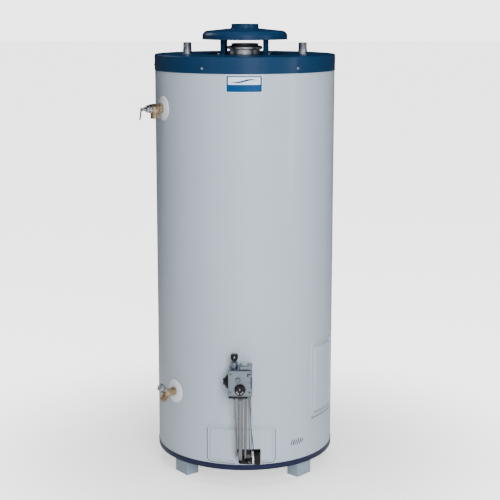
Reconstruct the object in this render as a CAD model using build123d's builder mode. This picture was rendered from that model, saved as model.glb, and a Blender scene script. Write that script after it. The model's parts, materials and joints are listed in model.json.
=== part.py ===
"""Gas-fired storage water heater, about 75 US gallons, with a draft hood on top.

Millimetres, +Z up. The origin is on the tank's axis, at floor level, and the front faces -Y.
An azimuth is measured round the tank from the front, and grows towards +X (the right-hand side).
"""

import os
from math import cos, radians, sin

from build123d import *

# ---------------------------------------------------------------- driving dimensions

# Outer casing
jacket_radius = 336.5  # 26.5 inch jacket
jacket_wall = 0.8
body_height = 1513.0  # from the base pan's underside to the top pan's upper face
foot_height = 66.0
pan_wall = 1.2  # top pan and base pan
pan_gap = 0.3  # between a pan's rim and the jacket
top_rim_height = 59.0
base_rim_height = 22.0
pan_edge_radius = 4.0
base_air_radius = 150.0  # combustion air enters through the base pan

# Pressure tank inside
tank_radius = 285.75  # 22.5 inch tank
tank_wall = 3.2
chamber_height = 224.0  # combustion chamber, below the tank
crown_space = 79.0  # from the shell's upper edge to the top pan's upper face
head_rise = 46.0  # height of a dished head
head_flange = 25.0
weld_gap = 0.1  # between pieces that are welded or screwed into each other
skirt_wall = 2.0

# Flue and vent
flue_radius = 50.8  # 4 inch flue
flue_wall = 3.0
flue_stand = 36.0  # the flue's top above the top pan
collar_radius = 50.8  # takes a 4 inch vent connector
collar_height = 16.0
collar_bead = 3.0  # the raised ring that stops the vent connector
hood_radius = 159.0
hood_skirt_height = 30.0
hood_slope_height = 11.0
hood_edge_radius = 20.0
hood_gap = 53.5  # from the top pan to the hood's lower edge
hood_wall = 1.2
hood_leg_width = 22.0
hood_leg_radius = 114.0
hood_foot_radius = 131.0
leg_wall = 1.6
leg_azimuths = (-135, -45, 45, 135)

# Water connections, 1 inch pipe on the left and right of the flue
nipple_radius = 16.7
nipple_wall = 4.5
nipple_offset = 216.0
nipple_stand = 42.0
nipple_thread = 24.0
thread_relief = 2.0  # length of the groove that ends a thread
spud_height = 30.0
anode_azimuth = 160.0
anode_offset = 165.0
anode_radius = 10.5
anode_length = 1060.0

# Feet
foot_width = 77.0
foot_depth = 53.0
foot_wall = 2.5
foot_azimuth = 50.0
foot_centre_radius = 279.0
foot_bolt_radius = 4.0
anchor_hole_radius = 5.5

# Side ports
port_shank_radius = 13.4  # 3/4 inch pipe
port_spud_radius = 22.0
port_spud_reach = 12.0  # how far a spud stands out of the tank
port_bore_radius = 8.8
relief_azimuth = -60.0
relief_height = 1387.0
relief_escutcheon_radius = 44.5
drain_azimuth = -49.0
drain_height = 332.0
drain_escutcheon_radius = 44.5

# Gas control on the front
control_width = 84.0
control_depth = 68.5
control_tall = 95.0
control_standoff = 12.0  # between the jacket and the control's back
control_bottom = 377.0
cover_wall = 2.5
flange_width = 70.0
flange_thick = 9.0
dial_radius = 20.0
dial_depth = 17.0
dial_drop = 25.0  # the dial's centre above the control's underside
knob_radius = 13.3
knob_tall = 30.0
knob_offset = -21.5
knob_collar_radius = 11.8
knob_collar_height = 22.0
button_radius = 12.0
button_offset = 14.0
button_travel = 3.5
button_boss_height = 12.0
gas_inlet_radius = 9.15  # 1/2 inch pipe thread
gas_inlet_depth = 18.0
regulator_radius = 25.5
running_fit = 0.06  # between a moving piece and what guides it
loose_gap = 0.5  # between a moving piece and anything else
spindle_radius = 4.0

# Burner supply
manifold_radius = 8.0
pilot_tube_radius = 3.2
lead_radius = 1.8
tube_setback = 36.5  # the tubes' centres in front of the control's back
manifold_height = 118.0  # the burner's mixer tube

# Burner door
door_width = 250.0
door_height = 142.0
door_corner = 16.0
door_border = 11.0
door_rise = 3.5
door_opening_width = 196.0
door_lap = 14.0  # how far the door overlaps its opening above
notch_left = -20.0
notch_right = 72.0
notch_height = 56.0

# Hand hole for cleaning, behind a cover on the right
handhole_azimuth = 63.0
handhole_height = 378.0
handhole_radius = 50.0
handhole_flange_radius = 72.0
handhole_bolt_circle = 61.0
handhole_bolt_count = 6
access_width = 168.0
access_height = 290.0
access_corner = 12.0
access_border = 20.0
access_rise = 4.0

# Badge and screws
badge_width = 129.0
badge_height = 60.0
badge_azimuth = 2.0
screw_head_radius = 4.4
screw_head_height = 3.0
screw_shank_radius = 2.0
screw_reach = 4.0
pan_screw_count = 6
pan_screw_phase = 6.0
sheet_gap = 0.3  # between a panel and the jacket that it lies on
cut_depth = 30.0  # how far inside a curved wall a cut through it starts

# ---------------------------------------------------------------- levels that follow

base_floor = foot_height + pan_wall
pan_top = foot_height + body_height
jacket_low = base_floor + pan_gap
jacket_high = pan_top - pan_wall - pan_gap
rim_low = pan_top - top_rim_height
base_rim_top = foot_height + base_rim_height
tank_low = foot_height + chamber_height
tank_high = pan_top - crown_space
tank_inside = tank_radius - tank_wall
jacket_inside = jacket_radius - jacket_wall
air_gap = screw_reach + 1.5
wrap_outside = jacket_inside - air_gap
control_back = jacket_radius + control_standoff
control_front = control_back + control_depth
control_top = control_bottom + control_tall
tube_front = control_back + tube_setback
control_middle = (control_bottom + control_top) / 2
dial_height = control_bottom + dial_drop
probe_height = control_middle + 6
spud_face = tank_radius + port_spud_reach
door_low = base_rim_top + 6
door_middle = door_low + door_height / 2
access_low = handhole_height - access_height / 2
hood_low = pan_top + hood_gap
hood_shoulder = hood_low + hood_skirt_height
collar_low = hood_shoulder + hood_slope_height

os.makedirs("parts", exist_ok=True)


# ---------------------------------------------------------------- shared helpers


def radial_plane(azimuth, radius, height):
    """A plane square to the tank's radius: its Z points outwards and its Y points up."""
    a = radians(azimuth)
    outwards = (sin(a), -cos(a), 0)
    return Plane(
        origin=(radius * outwards[0], radius * outwards[1], height),
        x_dir=(cos(a), sin(a), 0),
        z_dir=outwards,
    )


def tilted_plane(azimuth, radius, height, rise):
    """A radial plane that is tipped, so that its Z climbs by rise degrees."""
    a, lift = radians(azimuth), radians(rise)
    return Plane(
        origin=(radius * sin(a), -radius * cos(a), height),
        x_dir=(cos(a), sin(a), 0),
        z_dir=(cos(lift) * sin(a), -cos(lift) * cos(a), sin(lift)),
    )


def side_plane(azimuth, radius, height):
    """An upright plane that holds the tank's radius: its X points outwards and its Y points up."""
    a = radians(azimuth)
    return Plane(
        origin=(radius * sin(a), -radius * cos(a), height),
        x_dir=(sin(a), -cos(a), 0),
        z_dir=(-cos(a), -sin(a), 0),
    )


def hexagon(across_flats):
    """A hexagon of that size, in the sketch that is open."""
    return RegularPolygon(across_flats / 2, 6, major_radius=False)


def save(part, name):
    """Labels a finished piece and writes it to its own file."""
    part.label = name
    export_step(part, f"parts/{name}.step")


def curved_block(azimuth, middle, width, height, corner, inside, outside):
    """A piece of a thick cylinder wall, cut to a rounded rectangle as seen from outside."""
    with BuildPart() as block:
        with BuildSketch(radial_plane(azimuth, inside / 2, middle)):
            RectangleRounded(width, height, corner)
        extrude(amount=outside)
        with BuildSketch(Plane.XY.offset(middle - height)):
            Circle(outside)
            Circle(inside, mode=Mode.SUBTRACT)
        extrude(amount=2 * height, mode=Mode.INTERSECT)
    return block.part


def embossed_panel(azimuth, middle, width, height, corner, border, rise):
    """A curved sheet panel that lies on the jacket, with a raised field inside its border."""
    inside = jacket_radius + sheet_gap
    flat = curved_block(azimuth, middle, width, height, corner, inside, inside + jacket_wall)
    field_size = (width - 2 * border, height - 2 * border, corner * 0.8)
    field = curved_block(azimuth, middle, *field_size, inside, inside + rise + jacket_wall)
    inset = 2 * jacket_wall
    hollow_size = (field_size[0] - inset, field_size[1] - inset, field_size[2] - inset / 2)
    hollow = curved_block(azimuth, middle, *hollow_size, inside - 1, inside + rise)
    with BuildPart() as panel:
        add(flat)
        add(field)
        add(hollow, mode=Mode.SUBTRACT)
    return panel.part


def dished_head(rim_height):
    """A tank head that rises towards the axis, with a flange that points down."""
    outside = tank_inside - weld_gap
    hole = flue_radius + weld_gap
    with BuildPart() as head:
        with BuildSketch(Plane.XZ):
            with BuildLine():
                ThreePointArc(
                    (outside, rim_height),
                    (outside * 0.62, rim_height + head_rise * 0.62),
                    (0, rim_height + head_rise),
                )
                Line((0, rim_height + head_rise), (0, rim_height + head_rise - tank_wall))
                ThreePointArc(
                    (0, rim_height + head_rise - tank_wall),
                    (outside * 0.62, rim_height + head_rise * 0.62 - tank_wall),
                    (outside - tank_wall, rim_height - tank_wall),
                )
                Line((outside - tank_wall, rim_height - tank_wall), (outside, rim_height - tank_wall))
                Line((outside, rim_height - tank_wall), (outside, rim_height))
            make_face()
        revolve(axis=Axis.Z)
        with BuildSketch(Plane.XY.offset(rim_height - head_flange)):
            Circle(outside)
            Circle(outside - tank_wall, mode=Mode.SUBTRACT)
        extrude(amount=head_flange)
        with Locations((0, 0, rim_height)):
            Cylinder(hole, 4 * head_rise, mode=Mode.SUBTRACT)
    return head.part


def point_at(azimuth, radius):
    """The X and Y of a point at that azimuth and distance from the tank's axis."""
    a = radians(azimuth)
    return (radius * sin(a), -radius * cos(a))


# ---------------------------------------------------------------- feet and base pan

foot_azimuths = {
    "foot_front_left": -foot_azimuth,
    "foot_front_right": foot_azimuth,
    "foot_rear_left": foot_azimuth - 180,
    "foot_rear_right": 180 - foot_azimuth,
}

for foot_name, azimuth in foot_azimuths.items():
    foot_plane = radial_plane(azimuth, foot_centre_radius, foot_height / 2)
    bolt_spot = point_at(azimuth, foot_centre_radius)
    with BuildPart() as foot:
        with BuildSketch(foot_plane.offset(-foot_depth / 2)):
            Rectangle(foot_width, foot_height)
        extrude(amount=foot_depth)
        fillet(foot.edges().filter_by(Axis.Z), foot_wall)
        with BuildSketch(foot_plane.offset(-foot_depth / 2 - 1)):
            Rectangle(foot_width - 2 * foot_wall, foot_height - 2 * foot_wall)
        extrude(amount=foot_depth - foot_wall + 1, mode=Mode.SUBTRACT)
        with Locations((*bolt_spot, foot_wall / 2)):
            Cylinder(anchor_hole_radius, 2 * foot_wall, mode=Mode.SUBTRACT)
        with Locations((*bolt_spot, foot_height - foot_wall / 2)):
            Cylinder(foot_bolt_radius + weld_gap, 2 * foot_wall, mode=Mode.SUBTRACT)
    save(foot.part, foot_name)

with BuildPart() as foot_bolts:
    for azimuth in foot_azimuths.values():
        spot = point_at(azimuth, foot_centre_radius)
        with BuildSketch(Plane.XY.offset(foot_height - foot_wall - 5)):
            with Locations(spot):
                hexagon(13)
        extrude(amount=5)
        with BuildSketch(Plane.XY.offset(foot_height - foot_wall)):
            with Locations(spot):
                Circle(foot_bolt_radius)
        extrude(amount=foot_wall + pan_wall + 8)
save(foot_bolts.part, "foot_bolts")

rim_outside = jacket_radius + pan_gap + pan_wall
with BuildPart() as bottom_pan:
    with BuildSketch(Plane.XY.offset(foot_height)):
        Circle(rim_outside)
    extrude(amount=base_rim_height)
    fillet(bottom_pan.edges().group_by(Axis.Z)[0], pan_edge_radius)
    with BuildSketch(Plane.XY.offset(base_floor)):
        Circle(jacket_radius + pan_gap)
    extrude(amount=base_rim_height, mode=Mode.SUBTRACT)
    with Locations((0, 0, foot_height)):
        Cylinder(base_air_radius, 4 * pan_wall, mode=Mode.SUBTRACT)
    for azimuth in foot_azimuths.values():
        with Locations((*point_at(azimuth, foot_centre_radius), foot_height)):
            Cylinder(foot_bolt_radius + weld_gap, 4 * pan_wall, mode=Mode.SUBTRACT)
save(bottom_pan.part, "bottom_pan")

# ---------------------------------------------------------------- jacket and top pan

pan_screw_azimuths = [pan_screw_phase + 30 + i * 360 / pan_screw_count for i in range(pan_screw_count)]
pan_screw_height = rim_low + 0.32 * top_rim_height
access_screw_heights = (
    access_low + access_border / 2,
    access_low + access_height - access_border / 2,
)
door_screw_azimuths = (-6.6, 15.0)
door_screw_height = door_low + 5.0

panel_face = jacket_radius + sheet_gap + jacket_wall
casing_screw_spots = (
    [(azimuth, pan_screw_height, rim_outside) for azimuth in pan_screw_azimuths]
    + [(handhole_azimuth, height, panel_face) for height in access_screw_heights]
    + [(azimuth, door_screw_height, panel_face) for azimuth in door_screw_azimuths]
)

with BuildPart() as jacket:
    with BuildSketch(Plane.XY.offset(jacket_low)):
        Circle(jacket_radius)
        Circle(jacket_inside, mode=Mode.SUBTRACT)
    extrude(amount=jacket_high - jacket_low)
    # Openings behind the burner door and the hand-hole cover
    with BuildSketch(radial_plane(0, jacket_radius - 2 * cut_depth, door_middle)):
        RectangleRounded(door_opening_width, door_height - 2 * door_lap, door_corner / 2)
    extrude(amount=4 * cut_depth, mode=Mode.SUBTRACT)
    with BuildSketch(radial_plane(0, jacket_radius - 2 * cut_depth, door_low + notch_height / 2)):
        with Locations(((notch_left + notch_right) / 2, 0)):
            Rectangle(notch_right - notch_left, notch_height)
    extrude(amount=4 * cut_depth, mode=Mode.SUBTRACT)
    with BuildSketch(radial_plane(handhole_azimuth, jacket_radius - 2 * cut_depth, handhole_height)):
        RectangleRounded(access_width - 2 * access_border, access_height - 4 * access_border, access_corner)
    extrude(amount=4 * cut_depth, mode=Mode.SUBTRACT)
    # Holes for the valve shanks and the control's shank
    for azimuth, height in (
        (relief_azimuth, relief_height),
        (drain_azimuth, drain_height),
        (0, probe_height),
    ):
        with BuildSketch(radial_plane(azimuth, jacket_radius - cut_depth, height)):
            Circle(port_shank_radius + 4)
        extrude(amount=2 * cut_depth, mode=Mode.SUBTRACT)
    # Screw holes
    for azimuth, height, _ in casing_screw_spots:
        with BuildSketch(radial_plane(azimuth, jacket_radius - cut_depth, height)):
            Circle(screw_shank_radius + weld_gap)
        extrude(amount=2 * cut_depth, mode=Mode.SUBTRACT)
    # Folded seam down the back
    seam = curved_block(180, (rim_low + base_rim_top) / 2, 13, rim_low - base_rim_top - 4, 1,
                        jacket_inside, jacket_radius + 1.4)
    add(seam)
save(jacket.part, "jacket")

with BuildPart() as top_pan:
    with BuildSketch(Plane.XY.offset(rim_low)):
        Circle(rim_outside)
    extrude(amount=top_rim_height)
    fillet(top_pan.edges().group_by(Axis.Z)[-1], pan_edge_radius)
    with BuildSketch(Plane.XY.offset(rim_low)):
        Circle(jacket_radius + pan_gap)
    extrude(amount=top_rim_height - pan_wall, mode=Mode.SUBTRACT)
    with BuildSketch(Plane.XY.offset(pan_top - 2 * pan_wall)):
        Circle(flue_radius + 4)
        with Locations((-nipple_offset, 0), (nipple_offset, 0)):
            Circle(nipple_radius + 2.5)
    extrude(amount=4 * pan_wall, mode=Mode.SUBTRACT)
    for azimuth in pan_screw_azimuths:
        with BuildSketch(radial_plane(azimuth, jacket_radius - cut_depth, pan_screw_height)):
            Circle(screw_shank_radius + weld_gap)
        extrude(amount=2 * cut_depth, mode=Mode.SUBTRACT)
    for azimuth in leg_azimuths:
        with BuildSketch(Plane.XY.offset(pan_top - 2 * pan_wall)):
            with Locations(point_at(azimuth, hood_foot_radius)):
                Circle(screw_shank_radius + weld_gap)
        extrude(amount=4 * pan_wall, mode=Mode.SUBTRACT)
save(top_pan.part, "top_pan")

# ---------------------------------------------------------------- tank

head_holes = [(-nipple_offset, 0), (nipple_offset, 0), point_at(anode_azimuth, anode_offset)]
top_spud_radius = nipple_radius + 8.0
top_spud_low = tank_high + 4.0
nipple_low = top_spud_low + 8.0
side_ports = ((relief_azimuth, relief_height), (drain_azimuth, drain_height), (0, probe_height))

with BuildPart() as tank_shell:
    with BuildSketch(Plane.XY.offset(tank_low)):
        Circle(tank_radius)
        Circle(tank_inside, mode=Mode.SUBTRACT)
    extrude(amount=tank_high - tank_low)
    for azimuth, height in side_ports:
        with BuildSketch(radial_plane(azimuth, tank_radius / 2, height)):
            Circle(port_spud_radius + weld_gap)
        extrude(amount=tank_radius, mode=Mode.SUBTRACT)
    with BuildSketch(radial_plane(handhole_azimuth, tank_radius / 2, handhole_height)):
        Circle(handhole_radius)
    extrude(amount=tank_radius, mode=Mode.SUBTRACT)
save(tank_shell.part, "tank_shell")

bottom_rim = tank_low + head_flange
with BuildPart() as tank_bottom_head:
    add(dished_head(bottom_rim))
save(tank_bottom_head.part, "tank_bottom_head")

with BuildPart() as tank_top_head:
    add(dished_head(tank_high))
    for spot in head_holes:
        with Locations((*spot, tank_high)):
            Cylinder(top_spud_radius + weld_gap, 4 * head_rise, mode=Mode.SUBTRACT)
save(tank_top_head.part, "tank_top_head")

flange_face = tank_radius + 9.0
with BuildPart() as handhole_ring:
    with BuildSketch(radial_plane(handhole_azimuth, tank_radius - cut_depth, handhole_height)):
        Circle(handhole_flange_radius)
        Circle(handhole_radius, mode=Mode.SUBTRACT)
        with PolarLocations(handhole_bolt_circle, handhole_bolt_count):
            Circle(screw_shank_radius + 2, mode=Mode.SUBTRACT)
    extrude(amount=flange_face - tank_radius + cut_depth)
    with BuildSketch(Plane.XY.offset(tank_low)):
        Circle(tank_radius + weld_gap)
    extrude(amount=tank_high - tank_low, mode=Mode.SUBTRACT)

with BuildPart() as tank_spuds:
    add(handhole_ring.part)
    for spot in head_holes:
        with BuildSketch(Plane.XY.offset(top_spud_low)):
            with Locations(spot):
                Circle(top_spud_radius)
                Circle(nipple_radius, mode=Mode.SUBTRACT)
        extrude(amount=spud_height)
    for azimuth, height in side_ports:
        with BuildSketch(radial_plane(azimuth, tank_inside, height)):
            Circle(port_spud_radius)
            Circle(port_shank_radius + weld_gap, mode=Mode.SUBTRACT)
        extrude(amount=spud_face - tank_inside)
save(tank_spuds.part, "tank_spuds")

flue_low = tank_low + 50.0
flue_top = pan_top + flue_stand
with BuildPart() as flue_tube:
    with BuildSketch(Plane.XY.offset(flue_low)):
        Circle(flue_radius)
        Circle(flue_radius - flue_wall, mode=Mode.SUBTRACT)
    extrude(amount=flue_top - flue_low)
save(flue_tube.part, "flue_tube")

baffle_width = 2 * (flue_radius - flue_wall) - 8
baffle_low = flue_low + 90.0
fin_count = 9
fin_pitch = (flue_top - baffle_low) / (fin_count + 1)
with BuildPart() as flue_baffle:
    with BuildSketch(Plane.XZ.offset(-0.8)):
        with Locations((0, (baffle_low + flue_top + 4) / 2)):
            Rectangle(baffle_width, flue_top + 4 - baffle_low)
        with Locations((0, flue_top + 2.5)):
            Rectangle(2 * flue_radius + 4, 3)
    extrude(amount=1.6)
    for i in range(fin_count):
        with Locations(Location((0, 0, baffle_low + (i + 1) * fin_pitch), (40, 0, 0))):
            Box(baffle_width - 30, 60, 1.6)
save(flue_baffle.part, "flue_baffle")

ring_radius = 66.0
ring_neck_radius = 57.0
ring_tall = 30.0
ring_lip = 13.0  # height of the wider part at the top
with BuildPart() as flue_ring:
    with BuildSketch(Plane.XY.offset(pan_top + ring_tall - ring_lip)):
        Circle(ring_radius)
    extrude(amount=ring_lip)
    fillet(flue_ring.edges().group_by(Axis.Z)[-1], 6)
    fillet(flue_ring.edges().group_by(Axis.Z)[0], 3)
    with BuildSketch(Plane.XY.offset(pan_top + weld_gap)):
        Circle(ring_neck_radius)
    extrude(amount=ring_tall - ring_lip)
    with BuildSketch(Plane.XY.offset(pan_top)):
        Circle(ring_neck_radius - pan_wall)
    extrude(amount=ring_tall - 5, mode=Mode.SUBTRACT)
    with BuildSketch(Plane.XY.offset(pan_top)):
        Circle(flue_radius + weld_gap)
    extrude(amount=2 * ring_tall, mode=Mode.SUBTRACT)
save(flue_ring.part, "flue_ring")

anode_spot = point_at(anode_azimuth, anode_offset)
with BuildPart() as anode_rod:
    with BuildSketch(Plane.XY.offset(top_spud_low + spud_height + weld_gap)):
        with Locations(anode_spot):
            hexagon(27)
    extrude(amount=9)
    with BuildSketch(Plane.XY.offset(nipple_low)):
        with Locations(anode_spot):
            Circle(nipple_radius - weld_gap)
    extrude(amount=top_spud_low + spud_height + weld_gap - nipple_low)
    with BuildSketch(Plane.XY.offset(nipple_low - anode_length)):
        with Locations(anode_spot):
            Circle(anode_radius)
    extrude(amount=anode_length)
save(anode_rod.part, "anode_rod")

for name, side in (("cold_water_nipple", 1), ("hot_water_nipple", -1)):
    with BuildPart() as nipple:
        with BuildSketch(Plane.XY.offset(nipple_low)):
            with Locations((side * nipple_offset, 0)):
                Circle(nipple_radius - weld_gap)
        extrude(amount=pan_top - nipple_low)
        with BuildSketch(Plane.XY.offset(pan_top)):
            with Locations((side * nipple_offset, 0)):
                Circle(nipple_radius)
        extrude(amount=nipple_stand)
        with BuildSketch(Plane.XY.offset(pan_top + nipple_stand - nipple_thread - thread_relief)):
            with Locations((side * nipple_offset, 0)):
                Circle(nipple_radius + 1)
                Circle(nipple_radius - 0.8, mode=Mode.SUBTRACT)
        extrude(amount=thread_relief, mode=Mode.SUBTRACT)
        with BuildSketch(Plane.XY.offset(nipple_low)):
            with Locations((side * nipple_offset, 0)):
                Circle(nipple_radius - nipple_wall)
        extrude(amount=pan_top + nipple_stand - nipple_low, mode=Mode.SUBTRACT)
    save(nipple.part, name)

dip_radius = nipple_radius - nipple_wall - 2.2
dip_low = bottom_rim + 85.0
with BuildPart() as dip_tube:
    with BuildSketch(Plane.XY.offset(dip_low)):
        with Locations((nipple_offset, 0)):
            Circle(dip_radius)
    extrude(amount=pan_top - dip_low)
    with BuildSketch(Plane.XY.offset(pan_top - 6)):
        with Locations((nipple_offset, 0)):
            Circle(nipple_radius - nipple_wall - weld_gap)
    extrude(amount=6)
    with BuildSketch(Plane.XY.offset(dip_low)):
        with Locations((nipple_offset, 0)):
            Circle(dip_radius - 1.5)
    extrude(amount=pan_top - dip_low, mode=Mode.SUBTRACT)
save(dip_tube.part, "dip_tube")

# ---------------------------------------------------------------- combustion chamber

skirt_lap = 8.0  # how far the inner door overlaps its opening
inner_door_width = 190.0
inner_door_height = 128.0
with BuildPart() as combustion_skirt:
    with BuildSketch(Plane.XY.offset(base_floor + weld_gap)):
        Circle(tank_radius)
        Circle(tank_radius - skirt_wall, mode=Mode.SUBTRACT)
    extrude(amount=tank_low - base_floor - 2 * weld_gap)
    with BuildSketch(radial_plane(0, tank_radius / 2, door_middle)):
        Rectangle(inner_door_width - 2 * skirt_lap, inner_door_height - 2 * skirt_lap)
    extrude(amount=tank_radius, mode=Mode.SUBTRACT)
save(combustion_skirt.part, "combustion_skirt")

tray_height = base_floor + 8.0
with BuildPart() as burner_tray:
    with BuildSketch(Plane.XY.offset(base_floor + weld_gap)):
        Circle(base_air_radius + 40)
    extrude(amount=tray_height - base_floor)
    with BuildSketch(Plane.XY.offset(base_floor + weld_gap)):
        Circle(base_air_radius + 40 - pan_wall)
    extrude(amount=tray_height - base_floor - pan_wall, mode=Mode.SUBTRACT)
    with BuildSketch(Plane.XY.offset(base_floor)):
        with PolarLocations(base_air_radius - 25, 12):
            Circle(15)
    extrude(amount=2 * tray_height, mode=Mode.SUBTRACT)
save(burner_tray.part, "burner_tray")

burner_radius = 105.0
burner_height = 160.0
mixer_start = 92.0  # the mixer tube's open end, in front of the axis
mixer_radius = 17.0
with BuildPart() as main_burner:
    with BuildSketch(Plane.XY.offset(burner_height)):
        Circle(burner_radius)
    extrude(amount=26)
    fillet(main_burner.edges().group_by(Axis.Z)[-1], 10)
    with BuildSketch(Plane.XY.offset(burner_height - 60)):
        Circle(24)
    extrude(amount=61)
    with BuildSketch(radial_plane(0, 0, manifold_height)):
        Circle(mixer_radius)
    extrude(amount=mixer_start)
    with BuildSketch(radial_plane(0, 0, manifold_height)):
        Circle(mixer_radius - 2)
    extrude(amount=mixer_start, mode=Mode.SUBTRACT)
    with BuildSketch(Plane.XY.offset(manifold_height)):
        Circle(20)
    extrude(amount=burner_height - manifold_height + 4, mode=Mode.SUBTRACT)
    with BuildSketch(Plane.XY.offset(burner_height + 3)):
        Circle(burner_radius - 3)
    extrude(amount=12, mode=Mode.SUBTRACT)
    with BuildSketch(Plane.XY.offset(burner_height + 10)):
        with PolarLocations(burner_radius - 22, 24):
            Circle(3)
        with PolarLocations(burner_radius - 50, 16):
            Circle(3)
    extrude(amount=20, mode=Mode.SUBTRACT)
    with BuildSketch(Plane.XY.offset(tray_height + weld_gap)):
        with PolarLocations(burner_radius - 12, 3, start_angle=90):
            Rectangle(12, 12)
    extrude(amount=burner_height - tray_height)
save(main_burner.part, "main_burner")

orifice_tip = mixer_start - 10.0
manifold_end = mixer_start + 14.0
with BuildPart() as burner_orifice:
    with BuildSketch(radial_plane(0, orifice_tip, manifold_height)):
        Circle(5)
    extrude(amount=manifold_end - orifice_tip)
    with BuildSketch(radial_plane(0, mixer_start + 4, manifold_height)):
        hexagon(16)
    extrude(amount=manifold_end - mixer_start - 4)
    with BuildSketch(radial_plane(0, manifold_end, manifold_height)):
        Circle(manifold_radius - 1.2 - weld_gap)
    extrude(amount=10)
    with BuildSketch(radial_plane(0, orifice_tip, manifold_height)):
        Circle(1.3)
    extrude(amount=manifold_end + 10 - orifice_tip, mode=Mode.SUBTRACT)
save(burner_orifice.part, "burner_orifice")

pilot_top_x = -21.5
pilot_low_x = -14.5
lead_top_x = 33.5
lead_low_x = 41.0
supply_top = control_bottom + 12.0
pilot_reach = burner_radius + 22.0
pilot_level = 138.0
lead_level = 132.0


def swept_tube(points, bend_radius, outside, wall):
    """A bent tube, or a solid lead if it has no wall, through those points."""
    with BuildPart() as tube:
        with BuildLine():
            route = FilletPolyline(*points, radius=bend_radius)
        start = Plane(origin=route @ 0, z_dir=route % 0)
        with BuildSketch(start):
            Circle(outside)
            if wall:
                Circle(outside - wall, mode=Mode.SUBTRACT)
        sweep()
    return tube.part


manifold_route = (
    (0, -tube_front, supply_top),
    (0, -tube_front, manifold_height),
    (0, -manifold_end - weld_gap, manifold_height),
)
with BuildPart() as manifold_tube:
    add(swept_tube(manifold_route, 40, manifold_radius, 1.2))
save(manifold_tube.part, "manifold_tube")

pilot_route = (
    (pilot_top_x, -tube_front, supply_top),
    (pilot_top_x, -tube_front, control_bottom - flange_thick - 20),
    (pilot_low_x, -tube_front, pilot_level + 60),
    (pilot_low_x, -tube_front, pilot_level),
    (pilot_low_x, -pilot_reach, pilot_level),
    (pilot_low_x, -pilot_reach, burner_height - 6),
)
with BuildPart() as pilot_tube:
    add(swept_tube(pilot_route, 14, pilot_tube_radius, 0.8))
save(pilot_tube.part, "pilot_tube")

lead_route = (
    (lead_top_x, -tube_front, supply_top),
    (lead_top_x, -tube_front, control_bottom - flange_thick - 20),
    (lead_low_x, -tube_front, lead_level + 60),
    (lead_low_x, -tube_front, lead_level),
    (lead_low_x, -pilot_reach - 60, lead_level),
    (pilot_low_x + 16, -pilot_reach, lead_level),
    (pilot_low_x + 16, -pilot_reach, burner_height + 12),
)
with BuildPart() as thermocouple_lead:
    add(swept_tube(lead_route, 12, lead_radius, 0))
save(thermocouple_lead.part, "thermocouple_lead")

pilot_plate = burner_height - 6 + weld_gap
with BuildPart() as pilot_burner:
    with BuildSketch(Plane.XY.offset(pilot_plate)):
        with Locations((pilot_low_x + 6, -pilot_reach + 5)):
            Rectangle(44, 30)
        with Locations((pilot_low_x + 16, -pilot_reach)):
            Circle(lead_radius + weld_gap, mode=Mode.SUBTRACT)
    extrude(amount=2)
    with BuildSketch(Plane.XY.offset(pilot_plate)):
        with Locations((pilot_low_x, -pilot_reach)):
            Circle(5)
    extrude(amount=20)
    with BuildSketch(Plane.XY.offset(pilot_plate + 6)):
        with Locations((pilot_low_x, -pilot_reach)):
            Circle(3.4)
    extrude(amount=20, mode=Mode.SUBTRACT)
save(pilot_burner.part, "pilot_burner")

supply_spots = (
    (0, manifold_height, manifold_radius),
    (pilot_low_x, pilot_level, pilot_tube_radius),
    (lead_low_x, lead_level, lead_radius),
)
inner_face = tank_radius + sheet_gap
with BuildPart() as inner_door:
    add(curved_block(0, door_middle, inner_door_width, inner_door_height, 8, inner_face, inner_face + 2))
    for across, height, radius in supply_spots:
        with BuildSketch(radial_plane(0, tank_radius - cut_depth, height)):
            with Locations((across, 0)):
                Circle(radius + weld_gap)
        extrude(amount=2 * cut_depth, mode=Mode.SUBTRACT)
    with BuildSketch(radial_plane(0, tank_radius - cut_depth, door_middle + 22)):
        with Locations((-55, 0)):
            Circle(12)
    extrude(amount=2 * cut_depth, mode=Mode.SUBTRACT)
save(inner_door.part, "inner_door")

with BuildPart() as burner_door:
    add(embossed_panel(0, door_middle, door_width, door_height, door_corner, door_border, door_rise))
    with BuildSketch(radial_plane(0, jacket_radius - cut_depth, door_low + notch_height / 2)):
        with Locations(((notch_left + notch_right) / 2, 0)):
            Rectangle(notch_right - notch_left, notch_height)
    extrude(amount=3 * cut_depth, mode=Mode.SUBTRACT)
    for azimuth in door_screw_azimuths:
        with BuildSketch(radial_plane(azimuth, jacket_radius - cut_depth, door_screw_height)):
            Circle(screw_shank_radius + weld_gap)
        extrude(amount=3 * cut_depth, mode=Mode.SUBTRACT)
save(burner_door.part, "burner_door")

# ---------------------------------------------------------------- insulation

with BuildPart() as insulation:
    with BuildSketch(Plane.XY.offset(base_rim_top)):
        Circle(wrap_outside)
    extrude(amount=jacket_high - screw_reach - base_rim_top)
    with BuildSketch(Plane.XY.offset(base_rim_top)):
        Circle(tank_radius + 2.8)
    extrude(amount=tank_high + head_rise + 3 - base_rim_top, mode=Mode.SUBTRACT)
    with BuildSketch(Plane.XY.offset(tank_high)):
        Circle(flue_radius + 3)
        with Locations(*head_holes[:2]):
            Circle(top_spud_radius + 1)
    extrude(amount=pan_top - tank_high, mode=Mode.SUBTRACT)
    for azimuth, height in side_ports:
        with BuildSketch(radial_plane(azimuth, tank_radius / 2, height)):
            Circle(port_spud_radius + 2)
        extrude(amount=tank_radius, mode=Mode.SUBTRACT)
    with BuildSketch(radial_plane(handhole_azimuth, tank_radius / 2, handhole_height)):
        Circle(handhole_flange_radius + 6)
    extrude(amount=tank_radius, mode=Mode.SUBTRACT)
    with BuildSketch(radial_plane(0, tank_radius / 2, door_middle)):
        Rectangle(door_width - 30, door_height + 20)
    extrude(amount=tank_radius, mode=Mode.SUBTRACT)
save(insulation.part, "insulation")

# ---------------------------------------------------------------- hand hole and its cover

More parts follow.
